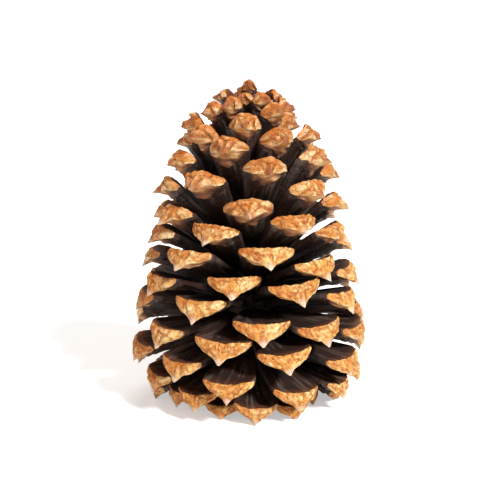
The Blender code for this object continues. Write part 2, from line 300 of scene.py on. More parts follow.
@dataclass
class ScaleForm:
    """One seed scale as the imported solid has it: its place on the spiral, centre line and sizes.

    Places on the centre line are pairs of distance from the axis and height.
    """

    number: int
    bearing: float
    half_width: float
    roll: float
    sway: float
    depth: float
    setback: float
    prickle: float
    rounding: float
    lower_field: float
    shoulder: float
    end_along: Array
    end_up: Array
    umbo: Array
    root: Array
    keel_rim: float = 1.7 * MM
    keel_power: float = 1.9
    edge_power: float = 2.5
    cup: float = 0.045
    arch: float = 0.5
    root_half_width: float = 1.9 * MM
    root_width_share: float = 0.6
    widest_share: float = 0.86
    widening_power: float = 0.9
    neck_share: float = 0.42
    root_thickness: float = 2.2 * MM
    neck_thickness: float = 2.2 * MM
    side_thickness: float = 1.1 * MM

    def __post_init__(self) -> None:
        """Works out the centre line from the umbo and the root."""
        self.edge = self.umbo - self.end_along * self.setback + self.end_up * self.depth
        self.length = float(np.linalg.norm(self.edge - self.root))
        self.middle = self.edge - self.end_along * self.length * self.arch
        self.rounding_share = self.rounding / self.length
        self.shoulder_share = 1.0 - self.lower_field / self.length
        self.root_half_width = min(self.root_half_width, self.half_width * self.root_width_share)
        span = math.hypot(self.depth, self.setback)
        self.face_out = self.depth / span
        self.face_up = self.setback / span

    def points(self, share: Array, across: Array, up: Array, outward: Array) -> Array:
        """Turns places on the scale into points of the cone.

        Args:
            share: From 0 at the root to 1 at the edge.
            across: The distance to the right of the centre line.
            up: The distance above it.
            outward: The distance further along the end of the scale.

        Returns:
            The points, with x, y and z in the last axis.
        """
        share, across, up, outward = np.broadcast_arrays(share, across, up, outward)
        rest = (1.0 - share)[..., None]
        gone = share[..., None]
        centre = self.root * rest * rest + self.middle * 2 * rest * gone + self.edge * gone * gone
        along = (self.middle - self.root) * rest + (self.edge - self.middle) * gone
        along = along / np.linalg.norm(along, axis=-1, keepdims=True)
        above = np.stack((-along[..., 1], along[..., 0]), axis=-1)
        lifted = across * math.sin(self.roll) + up * math.cos(self.roll)
        sideways = across * math.cos(self.roll) - up * math.sin(self.roll)
        sideways = sideways + self.length * share * math.tan(self.sway)
        place = centre + above * lifted[..., None] + self.end_along * outward[..., None]
        turn_sin = math.sin(self.bearing)
        turn_cos = math.cos(self.bearing)
        reach = place[..., 0]
        return np.stack(
            (reach * turn_sin + sideways * turn_cos, sideways * turn_sin - reach * turn_cos, place[..., 1]),
            axis=-1,
        )

    def half_width_at(self, share: Array) -> Array:
        """Gives half the blade's width at a share of its length."""
        spread = np.minimum(1.0, share / self.widest_share) ** self.widening_power
        return self.root_half_width + (self.half_width - self.root_half_width) * spread

    def cup_at(self, share: Array, column: Array) -> Array:
        """Gives how far the blade's sides curl up above its middle."""
        return 2 * self.half_width * self.cup * share * share * column * column

    def edge_share(self, column: Array) -> Array:
        """Gives how far along the scale its rounded edge lies at a column."""
        return 1 - self.rounding_share * np.abs(column) ** self.edge_power

    def keel_drop(self, column: Array) -> Array:
        """Gives how far below the edge the keel lies at a column, without the prickle."""
        return self.keel_rim + (self.depth - self.keel_rim) * (1 - np.abs(column) ** self.keel_power)

    def keel_reach(self, column: Array) -> Array:
        """Gives how far the keel stands out past the edge at a column."""
        return self.setback * (1 - np.abs(column) ** self.edge_power)

    def thickness_at(self, share: Array, column: Array) -> Array:
        """Gives the scale's thickness, from its root through its neck and shoulder to its keel.

        Args:
            share: From 0 at the root to 1 at the edge.
            column: From -1 at the left side to 1 at the right side.

        Returns:
            The thickness at each place.
        """
        root_to_neck = np.clip(share / self.neck_share, 0, 1)
        neck = self.root_thickness + (self.neck_thickness - self.root_thickness) * root_to_neck
        shoulder = self.shoulder - (self.shoulder - self.side_thickness) * column**2
        neck_to_shoulder = (share - self.neck_share) / (self.shoulder_share - self.neck_share)
        blade = neck + (shoulder - neck) * np.clip(neck_to_shoulder, 0, 1)
        return blade + (self.keel_drop(column) - blade) * self.lower_share(share)

    def lower_share(self, share: Array) -> Array:
        """Gives how far along the lower field a place is, from 0 at the shoulder to 1 at the keel."""
        return np.clip((share - self.shoulder_share) / (1 - self.shoulder_share), 0, 1)


@dataclass
class Spiral:
    """The rule that places the scales: a golden-angle spiral down the cone, a little uneven at the crown."""

    count: int = 131
    golden_angle: float = math.radians(137.508)
    first_bearing: float = math.radians(15.1)
    drift: float = math.radians(16.0)
    drift_centre: int = 67
    drift_span: int = 60
    seed: int = 11
    reach_spread: float = 0.5 * MM
    height_spread: float = 0.35 * MM
    width_spread: float = 0.05
    roll_spread: float = math.radians(4.0)
    sway_spread: float = math.radians(2.5)
    root_sink: float = 2.4 * MM
    lost: tuple[int, ...] = (16,)
    stations: tuple[Station, ...] = (
        Station(0, 1.8, 95.1, 86, 4.4, 2.0, 3.0, -2.8, 0.6, 4.5, 1.7, 86.5),
        Station(2, 4.6, 91.6, 82, 4.8, 2.2, 2.0, -2.6, 0.6, 4.8, 1.8, 82.0),
        Station(5, 8.2, 92.0, 77, 6.2, 2.8, 2.4, -3.0, 0.8, 6.4, 2.2, 78.0),
        Station(11, 12.8, 88.8, 71, 7.5, 3.6, 3.4, -3.2, 0.8, 8.0, 2.8, 72.0),
        Station(23, 18.9, 82.2, 63, 10.0, 4.4, 4.2, -2.8, 0.9, 9.2, 3.5, 62.0),
        Station(37, 26.0, 67.8, 49, 13.8, 5.0, 3.8, -1.4, 1.2, 9.6, 3.7, 50.3),
        Station(53, 30.2, 51.0, 26, 15.4, 5.0, 3.2, 0.3, 1.9, 8.6, 3.5, 39.8),
        Station(69, 33.0, 34.2, 8, 16.2, 4.7, 2.6, 1.0, 2.1, 8.0, 3.2, 32.4),
        Station(85, 35.6, 20.2, -4, 15.8, 4.3, 2.4, 1.2, 2.0, 7.2, 2.9, 25.6),
        Station(99, 33.8, 8.6, -12, 14.2, 3.8, 2.2, 1.2, 1.7, 6.6, 2.6, 19.6),
        Station(109, 28.6, 0.7, -17, 13.2, 3.2, 2.2, 1.0, 1.6, 6.0, 2.3, 15.2),
        Station(117, 24.6, 0.8, -20, 11.8, 3.0, 2.0, 0.8, 1.5, 5.5, 2.0, 11.8),
        Station(123, 19.0, 2.4, -24, 9.4, 2.6, 1.6, 0.6, 1.2, 4.5, 1.8, 9.2),
        Station(131, 11.5, 3.4, -30, 6.4, 2.0, 1.2, 0.4, 0.8, 3.0, 1.4, 6.4),
    )
    nudges: dict[int, Nudge] = field(
        default_factory=lambda: {
            3: Nudge(0, -2.4, -1.0),
            5: Nudge(2, 0.0, -1.0),
            8: Nudge(-20, 0.0, -0.9),
            10: Nudge(26, 0.0, -0.6),
            11: Nudge(0, 0.3, -1.0),
            13: Nudge(25, 0.3, 0.0),
            14: Nudge(-18, 0.0, 0.0),
            15: Nudge(24, 0.0, -0.5),
            18: Nudge(26, -3.0, -1.0),
            19: Nudge(0, 1.6, -0.4),
            21: Nudge(-6, 0.0, 1.2),
            22: Nudge(0, 0.0, -2.1),
            23: Nudge(0, 0.0, -2.0),
            24: Nudge(0, 0.0, -0.7),
            26: Nudge(-4, -0.4, 1.2),
            29: Nudge(-3, -0.4, 1.8),
            34: Nudge(-5, 0.0, 1.0),
            42: Nudge(3, 0.0, -1.8),
            45: Nudge(-5, 1.0, -1.8),
            47: Nudge(0, 0.0, -1.3),
            50: Nudge(-4, 0.0, -0.3),
            55: Nudge(-2, 0.0, -1.4),
            60: Nudge(0, 0.0, -1.0),
            63: Nudge(0, 0.0, -1.5),
            68: Nudge(3, 0.0, 2.0),
            73: Nudge(4, 0.0, 1.8),
            76: Nudge(3, 0.0, -1.2),
            79: Nudge(-2, 0.0, -2.4),
            81: Nudge(4, 0.0, 1.0),
            84: Nudge(4, 0.0, 0.9),
            86: Nudge(0, 0.0, 2.6),
            87: Nudge(0, 0.5, -2.2),
            89: Nudge(5, 0.0, 1.2),
            94: Nudge(6, 1.5, 1.4),
            97: Nudge(-5, 0.0, -0.6),
            102: Nudge(2, 0.0, 0.0),
            105: Nudge(-3, 0.0, 0.9),
            107: Nudge(6, 2.0, 3.6),
            110: Nudge(4, 0.0, 0.9),
            113: Nudge(0, 0.0, 2.4),
        }
    )

    def station_at(self, number: int) -> Station:
        """Blends the two stations on either side of a scale's number.

        Args:
            number: The scale's number, from 0 at the tip.

        Returns:
            The station there.
        """
        for low, high in zip(self.stations, self.stations[1:]):
            if number <= high.number:
                return low.towards(high, (number - low.number) / (high.number - low.number))
        return self.stations[-1]

    def form_at(self, number: int, draw: random.Random, rachis: Rachis) -> ScaleForm:
        """Places one scale.

        Args:
            number: The scale's number.
            draw: The random draw that all the scales share.
            rachis: The axis that the scale grows from.

        Returns:
            The scale's form.
        """
        station = self.station_at(number)
        nudge = self.nudges.get(number, Nudge())
        drift = self.drift * ((number - self.drift_centre) / self.drift_span) ** 2
        reach = (station.reach + nudge.reach) * MM + draw.uniform(-self.reach_spread, self.reach_spread)
        height = (station.height + nudge.height) * MM + draw.uniform(-self.height_spread, self.height_spread)
        width = station.width * MM * (1 + draw.uniform(-self.width_spread, self.width_spread))
        roll = draw.uniform(-self.roll_spread, self.roll_spread)
        sway = draw.uniform(-self.sway_spread, self.sway_spread)
        tilt = math.radians(station.tilt)
        root_height = station.root_height * MM
        root_reach = max(0.0, float(rachis.radius_at(root_height)) - self.root_sink)
        return ScaleForm(
            number=number,
            bearing=self.first_bearing - self.golden_angle * number - drift + math.radians(nudge.bearing),
            half_width=width / 2,
            roll=roll,
            sway=sway,
            depth=station.depth * MM,
            setback=station.setback * MM,
            prickle=station.prickle * MM,
            rounding=station.rounding * MM,
            lower_field=station.lower_field * MM,
            shoulder=station.shoulder * MM,
            end_along=np.array((math.cos(tilt), math.sin(tilt))),
            end_up=np.array((-math.sin(tilt), math.cos(tilt))),
            umbo=np.array((reach, height)),
            root=np.array((root_reach, root_height)),
        )

    def forms(self, rachis: Rachis) -> list[ScaleForm]:
        """Places every scale that the cone still has.

        Args:
            rachis: The axis that the scales grow from.

        Returns:
            The scales' forms, from the tip down.
        """
        draw = random.Random(self.seed)
        forms = [self.form_at(number, draw, rachis) for number in range(self.count)]
        return [form for form in forms if form.number not in self.lost]


@dataclass(frozen=True)
class FieldPlaces:
    """The places on one scale's upper field.

    column runs across from -1 to 1, and drop runs down from 0 at the edge to 1 at the keel. across and
    above are the distances to the right of the umbo and above it.
    """

    form: ScaleForm
    column: Array
    drop: Array
    across: Array
    above: Array

    def in_noise(self, layer: Layer, size: float, right: float = 1.0, up: float = 1.0) -> Array:
        """Gives where the places lie in one layer of the noise, with its cells' size and its stretches."""
        return layer.places(self.form.number, self.across / right, self.above / up, size)

    def in_line(self, layer: Layer, size: float) -> Array:
        """Gives where the places lie in one layer of the noise when it changes across the scale alone."""
        return layer.places(self.form.number, self.across, 0.0, size)

    def gap(self, rise: float = 0.0) -> Array:
        """Gives the distance from the umbo, or from a point so far above it."""
        return np.hypot(self.across, self.above - rise)


@dataclass(frozen=True)
class Swells:
    """The swells of one shield, each at every place of its upper field."""

    lobes: Array
    crumbs: Array
    fan: Array
    spike: Array
    keel: Array
    umbo: Array
    folds: Array
    facets: Array


@dataclass(frozen=True)
class ShieldRelief:
    """The lumps of a shield: lobes that fan out from the umbo with creases between, and crumbs on them.

    The crown's shields have few broad lobes, and the skirt's, further down, have many fine ones. On one
    side of the cone, about smooth_bearing, the broad lobes reach further down. Each swell has a height,
    and a light, which is how much paler it makes the wood: partly paler wood on the ridges, and partly
    painted highlight on the lumps and painted shade in the creases.
    """

    seed: int = 401
    crown_number: float = 30.0
    skirt_number: float = 56.0
    smooth_bearing: float = math.radians(-66.0)
    smooth_span: float = math.radians(44.0)
    smooth_last: float = 112.0
    smooth_fade: float = 36.0
    smooth_share: float = 0.66
    fewest_broad: float = 0.45
    crown_rings: tuple[tuple[float, int], ...] = ((0.34, 4), (0.92, 3))
    skirt_rings: tuple[tuple[float, int], ...] = ((0.34, 5), (0.66, 9), (0.98, 13))
    ring_turn: float = 0.3
    ring_stretch: tuple[float, float] = (0.88, 1.12)
    lobe_height: SizeRange = SizeRange(1.2 * MM, 0.46 * MM)
    lobe_light: SizeRange = SizeRange(0.70, 0.25)
    lobe_level: float = 0.6
    full_depth: float = 4.0 * MM
    crease: float = 1.0 * MM
    faded_lobe: float = 0.7
    fade_level: float = 0.75
    fade_size: float = 3.4 * MM
    fade_shift: float = 31.7
    warp_depth: float = 0.9 * MM
    warp_size: float = 2.6 * MM
    warp_shifts: tuple[float, float] = (11.3, 57.9)
    dome_height: SizeRange = SizeRange(1.45 * MM, 0.85 * MM)
    dome_power: float = 2.2
    dome_side_power: int = 6
    side_flattening: float = 0.6
    side_power: int = 8
    facet_height: SizeRange = SizeRange(1.15 * MM, 0.65 * MM)
    facet_light: SizeRange = SizeRange(0.25, 0.38)
    facet_slope: float = 0.20
    facet_step: float = 0.22
    facet_blend: float = 0.28 * MM
    facet_limit: float = 0.6
    crumb_size: SizeRange = SizeRange(2.6 * MM, 1.9 * MM)
    crumb_height: float = 0.30 * MM
    crumb_light: float = 0.2
    fan_height: SizeRange = SizeRange(0.12 * MM, 0.46 * MM)
    fan_light: float = 0.35
    fan_ribs: float = 8.0
    fan_stretch: float = 1.9
    fan_rise: float = 3.0
    fold_height: float = 1.1 * MM
    fold_light: float = 0.5
    fold_length: float = 6.0 * MM
    fold_width: float = 2.3 * MM
    fold_warp_scale: float = 1.7
    fold_warp_shift: float = 5.1
    keel_height: float = 0.20 * MM
    # A painted highlight along the keel.
    keel_highlight: SizeRange = SizeRange(0.5, 0.2)
    keel_band: float = 0.14
    keel_round: float = 0.30 * MM
    keel_round_start: float = 0.8
    keel_wave_height: SizeRange = SizeRange(1.5 * MM, 0.45 * MM)
    keel_wave_size: float = 2.6 * MM
    keel_wave_power: int = 3
    full_half_width: float = 5.0 * MM
    edge_wave_height: float = 0.55 * MM
    edge_wave_size: SizeRange = SizeRange(3.6 * MM, 1.9 * MM)
    corner_start: float = 0.86
    corner_share: float = 0.62
    tip_number: int = 0
    tip_fall: float = 1.9 * MM
    umbo_radius: float = 1.7 * MM
    umbo_rise: float = 0.5 * MM
    umbo_steepness: float = 1.25
    umbo_height: SizeRange = SizeRange(0.8 * MM, 0.3 * MM)
    umbo_sag: SizeRange = SizeRange(0.7 * MM, 0.0)
    prickle_foot: float = 0.9 * MM
    prickle_spread: float = 0.72
    prickle_power: float = 1.25
    prickle_gain: SizeRange = SizeRange(1.6, 1.0)
    prickle_lean: SizeRange = SizeRange(0.85, 0.35)
    prickle_flattening: float = 0.7
    pale_start: float = 0.33
    pale_span: float = 0.28
    least_pale: float = 1.0 * MM
    pale_growth: float = 0.8 * MM

    def row_share(self, form: ScaleForm) -> float:
        """Gives how far down from the crown to the skirt a scale grows, from 0 to 1."""
        span = self.skirt_number - self.crown_number
        return min(1.0, max(0.0, (form.number - self.crown_number) / span))

    def skirt_share(self, form: ScaleForm) -> float:
        """Gives how fine a scale's relief is, 0 as on the crown and 1 as on the skirt.

        Args:
            form: The scale.

        Returns:
            The share, which is smaller on the cone's smoother side.
        """
        turn = math.remainder(form.bearing - self.smooth_bearing, 2 * math.pi)
        beside = math.exp(-((turn / self.smooth_span) ** 2))
        above = min(1.0, max(0.0, (self.smooth_last - form.number) / self.smooth_fade))
        return self.row_share(form) * (1 - self.smooth_share * beside * above)

    def lobe_centres(self, form: ScaleForm) -> Array:
        """Draws the middles of a shield's lobes, on rings about its umbo.

        Args:
            form: The scale.

        Returns:
            Pairs of distance to the right of the umbo and distance above it.
        """
        draw = random.Random(self.seed + form.number)
        broad = self.skirt_share(form) < self.fewest_broad + draw.random() * (1 - self.fewest_broad)
        centres = []
        for ring, count in self.crown_rings if broad else self.skirt_rings:
            for step in range(count):
                turn = draw.uniform(-self.ring_turn, self.ring_turn)
                angle = math.pi * (step + 0.5 + turn) / count
                radius = ring * draw.uniform(*self.ring_stretch)
                right = radius * form.half_width * math.cos(angle)
                centres.append((right, radius * form.depth * math.sin(angle)))
        return np.array(centres)

    def lobe_offsets(self, places: FieldPlaces) -> tuple[Array, Array]:
        """Gives each place's distance to the right of every lobe's middle and above it, a little warped.

        Args:
            places: The places.

        Returns:
            The distances to the right and the distances above, with the lobes in the last axis.
        """
        flat = places.in_noise(Layer.LOBES, self.warp_size)
        right, up = (NOISE.at(flat + shift) * self.warp_depth for shift in self.warp_shifts)
        centres = self.lobe_centres(places.form)
        aside = (places.across + right)[..., None] - centres[:, 0]
        return aside, (places.above + up)[..., None] - centres[:, 1]

    def lobes(self, places: FieldPlaces) -> Array:
        """Gives the lobes' swell, 0 in the creases and 1 on the lobes.

        Args:
            places: The places.

        Returns:
            The swell at each place.
        """
        gaps = np.sort(np.hypot(*self.lobe_offsets(places)), axis=-1)
        cells = smooth_step((gaps[..., 1] - gaps[..., 0]) / self.crease)
        flat = places.in_noise(Layer.LOBES, self.fade_size)
        fade = smooth_step(self.fade_level + NOISE.at(flat + self.fade_shift))
        return self.faded_lobe + (cells - self.faded_lobe) * fade

    def facets(self, places: FieldPlaces) -> Array:
        """Gives the lobes' flats, each tilted its own way.

        Args:
            places: The places.

        Returns:
            The height at each place, about -0.5 to 0.5.
        """
        aside, over = self.lobe_offsets(places)
        draw = np.random.default_rng(self.seed + places.form.number)
        tilt_x, tilt_y, step = draw.uniform(-1, 1, size=(3, aside.shape[-1]))
        planes = (aside * tilt_x + over * tilt_y) / MM * self.facet_slope + step * self.facet_step
        gaps = np.hypot(aside, over)
        weights = np.exp((gaps.min(axis=-1, keepdims=True) - gaps) / self.facet_blend)
        height = (planes * weights).sum(axis=-1) / weights.sum(axis=-1)
        return np.clip(height, -self.facet_limit, self.facet_limit)

    def crumbs(self, places: FieldPlaces) -> Array:
        """Gives the fine lumps, about -0.5 to 0.6."""
        size = self.crumb_size.at(self.skirt_share(places.form))
        return NOISE.lumps(places.in_noise(Layer.CRUMBS, 1.0, size, size), layers=2)

    def fan(self, places: FieldPlaces) -> Array:
        """Gives the small ribs that fan out from the umbo.

        Args:
            places: The places.

        Returns:
            The height at each place, about -0.5 to 0.6.
        """
        angle = np.arctan2(places.above, places.across) / math.pi
        radius = np.hypot(places.across, places.above) / places.form.half_width
        flat = Layer.FAN.places(places.form.number, angle * self.fan_ribs, radius * self.fan_stretch)
        return NOISE.lumps(flat, layers=2) * smooth_step(radius * self.fan_rise)

    def folds(self, places: FieldPlaces) -> Array:
        """Gives the folds that run across a crown scale.

        Args:
            places: The places.

        Returns:
            The height at each place, about -0.5 to 0.6.
        """
        flat = places.in_noise(Layer.FOLDS, 1.0, self.fold_length, self.fold_width)
        flat[..., 1] += NOISE.at(flat * self.fold_warp_scale + self.fold_warp_shift)
        return NOISE.lumps(flat, layers=1) * (1 - self.row_share(places.form))

    def umbo(self, places: FieldPlaces) -> Array:
        """Gives the umbo's swell, 1 on its top and 0 past its foot."""
        radius = min(self.umbo_radius, places.form.half_width / 2)
        return smooth_step(self.umbo_steepness * (1 - places.gap(self.umbo_rise) / radius))

    def spike_radius(self, form: ScaleForm) -> float:
        """Gives how far the prickle's foot reaches from its middle."""
        return self.prickle_foot + self.prickle_spread * form.prickle

    def spike(self, places: FieldPlaces) -> Array:
        """Gives the prickle's share, 1 at its tip and 0 past its foot."""
        return np.clip(1 - places.gap() / self.spike_radius(places.form), 0, 1) ** self.prickle_power

    def pale_prickle(self, form: ScaleForm, spike: Array) -> Array:
        """Gives where the prickle is pale, which a short one isn't."""
        grown = smooth_step((form.prickle - self.least_pale) / self.pale_growth)
        return smooth_step((spike - self.pale_start) / self.pale_span) * grown

    def edge_wave(self, places: FieldPlaces) -> Array:
        """Gives how far the scale's edge waves up and down, none at the keel."""
        size = self.edge_wave_size.at(self.skirt_share(places.form))
        return NOISE.layered(places.in_line(Layer.EDGE, size), 2) * self.edge_wave_height * (1 - places.drop)

    def keel_wave(self, places: FieldPlaces) -> Array:
        """Gives how far the keel waves up and down, none at the edge.

        Args:
            places: The places.

        Returns:
            The distance up at each place.
        """
        height = self.keel_wave_height.at(self.row_share(places.form))
        height = height * min(1.0, places.form.half_width / self.full_half_width)
        wave = NOISE.layered(places.in_line(Layer.KEEL, self.keel_wave_size), 2)
        return wave * height * places.drop**self.keel_wave_power

    def corner_pinch(self, column: Array) -> Array:
        """Gives how far the shield's corners are pinched together, 0 over most of its width."""
        past = np.clip((np.abs(column) - self.corner_start) / (1 - self.corner_start), 0, 1)
        return (1 - np.sqrt(1 - past**2)) * self.corner_share

    def swells(self, places: FieldPlaces) -> Swells:
        """Gives every swell of a shield.

        Args:
            places: The places.

        Returns:
            The swells.
        """
        return Swells(
            lobes=self.lobes(places),
            crumbs=self.crumbs(places),
            fan=self.fan(places),
            spike=self.spike(places),
            keel=smooth_step((places.drop - 1 + self.keel_band) / self.keel_band),
            umbo=self.umbo(places),
            folds=self.folds(places),
            facets=self.facets(places),
        )

    def lift(self, places: FieldPlaces, swells: Swells) -> Array:
        """Gives how far the upper field stands out from the plain one, without the prickle.

        Args:
            places: The places.
            swells: The swells there.

        Returns:
            The distance at each place.
        """
        form = places.form
        row = self.row_share(form)
        lobe_height = self.lobe_height.at(row) * min(1.0, form.depth / self.full_depth)
        dome = self.dome_height.at(row) * (1 - np.abs(2 * places.drop - 1) ** self.dome_power)
        lift = dome * (1 - places.column**self.dome_side_power)
        lift = lift + (swells.lobes - self.lobe_level) * lobe_height + swells.crumbs * self.crumb_height
        lift = lift + swells.fan * self.fan_height.at(self.skirt_share(form))
        lift = lift + swells.keel * self.keel_height
        lift = lift * (1 - self.prickle_flattening * swells.spike)
        lift = lift * (1 - self.side_flattening * places.column**self.side_power)
        lift = lift + swells.folds * self.fold_height
        lift = lift + swells.facets * self.facet_height.at(row) * (1 - swells.spike)
        return lift + swells.umbo * self.umbo_height.at(row)

    def light(self, form: ScaleForm, swells: Swells) -> Array:
        """Gives how pale the swells make the wood, from 0 to 1: partly paler wood, partly painted highlight
        on the lumps and painted shade in the creases.

        Args:
            form: The scale.
            swells: Its swells.

        Returns:
            The value at each place.
        """
        row = self.row_share(form)
        light = 0.5 + self.lobe_light.at(row) * (swells.lobes - self.lobe_level)
        light = light + self.crumb_light * swells.crumbs + self.fan_light * swells.fan
        light = light + self.facet_light.at(row) * swells.facets + self.fold_light * swells.folds
        # The keel's pale line is a painted highlight.
        return np.clip(light + self.keel_highlight.at(row) * swells.keel, 0, 1)

    def shift(self, places: FieldPlaces, swells: Swells) -> tuple[Array, Array]:
        """Gives how far the relief moves the plain upper field.

        Args:
            places: The places.
            swells: The swells there.

        Returns:
            The distance up and the distance outward at each place.
        """
        form, column, drop = places.form, places.column, places.drop
        row = self.row_share(form)
        lift = self.lift(places, swells)
        prickle = swells.spike * form.prickle * self.prickle_gain.at(row)
        wave = self.edge_wave(places) + self.keel_wave(places)
        rise = lift * form.face_up + wave - prickle - swells.umbo * self.umbo_sag.at(row)
        rise = rise + (form.keel_drop(column) * (drop - 0.5)) * self.corner_pinch(column)
        if form.number == self.tip_number:
            rise = rise - self.tip_fall * np.abs(column) * (1 - drop)
        rounded = np.clip((drop - self.keel_round_start) / (1 - self.keel_round_start), 0, 1) ** 2
        reach = lift * form.face_out + prickle * self.prickle_lean.at(row)
        return rise, reach - self.keel_round * rounded * (1 - swells.spike)


@dataclass(frozen=True)
class BladeRelief:
    """The blade's hollow on top, where two seeds lay, and the ribs and lumps under it."""

    hollow_depth: float = 0.55 * MM
    hollow_start: float = 0.30
    hollow_rise: float = 0.20
    hollow_end: float = 0.97
    hollow_fall: float = 0.12
    hollow_power: int = 3
    ridge_width: float = 0.16
    ridge_share: float = 0.5
    rib_height: float = 0.27 * MM
    rib_size: float = 1.1 * MM
    rib_stretch: float = 9.0
    tip_reach: float = 4.5 * MM
    knob_height: float = 0.85 * MM
    knob_length: float = 4.6 * MM
    knob_width: float = 2.3 * MM
    knob_rise: float = 3.0
    knob_fall: float = 5.0
    lit_share: float = 0.7
    lit_power: float = 1.5
    least_lit: float = 0.9 * MM
    lit_raggedness: float = 2.4 * MM
    lit_fade: float = 0.6

    def hollow(self, share: Array, column: Array) -> Array:
        """Gives how deep the top lies hollow, with a low ridge left between the two seed beds.

        Args:
            share: From 0 at the root to 1 at the edge.
            column: From -1 at the left side to 1 at the right side.

        Returns:
            The depth at each place.
        """
        rise = smooth_step((share - self.hollow_start) / self.hollow_rise)
        fall = smooth_step((self.hollow_end - share) / self.hollow_fall)
        ridge = 1 - self.ridge_share * np.exp(-((column / self.ridge_width) ** 2))
        return self.hollow_depth * rise * fall * (1 - np.abs(column) ** self.hollow_power) * ridge

    def ribs(self, form: ScaleForm, share: Array, across: Array) -> Array:
        """Gives how far the underside's ribs stand out.

        Args:
            form: The scale.
            share: From 0 at the root to 1 at the edge.
            across: The distance to the right of the centre line.

        Returns:
            The distance at each place.
        """
        along = share * form.length / self.rib_stretch
        places = Layer.RIBS.places(form.number, across, along, self.rib_size)
        return NOISE.layered(places, layers=2) * self.rib_height

    def knobs(self, form: ScaleForm, share: Array, across: Array) -> Array:
        """Gives the lumps of the shield's underside, about -0.5 to 0.6."""
        along = share * form.length / self.knob_width
        return NOISE.lumps(Layer.KNOBS.places(form.number, across / self.knob_length, along), layers=2)

    def knob_lift(self, knobs: Array, lower: Array) -> Array:
        """Gives how far the lumps stand out, none at the lower field's start and at the keel."""
        rise = smooth_step(lower * self.knob_rise)
        return knobs * self.knob_height * rise * smooth_step((1 - lower) * self.knob_fall)

    def lit(self, form: ScaleForm, knobs: Array, gap: Array, column: Array) -> Array:
        """Gives how far the shield's brown runs onto the underside, 1 near the keel and 0 past its reach.

        Args:
            form: The scale.
            knobs: The underside's lumps, which make its border ragged.
            gap: The distance back from the scale's edge.
            column: The place across, from -1 to 1.

        Returns:
            The value at each place.
        """
        reach = self.lit_share * form.lower_field * (1 - np.abs(column) ** self.lit_power)
        reach = reach + self.least_lit + self.lit_raggedness * knobs
        return np.clip((reach - gap) / (self.lit_fade * form.lower_field), 0, 1)


@dataclass(frozen=True)
class ScaleMesh:
    """One scale's points, its faces as tuples of point numbers, and its masks."""

    points: Array
    faces: list[tuple[int, ...]]
    masks: dict[Mask, Array]


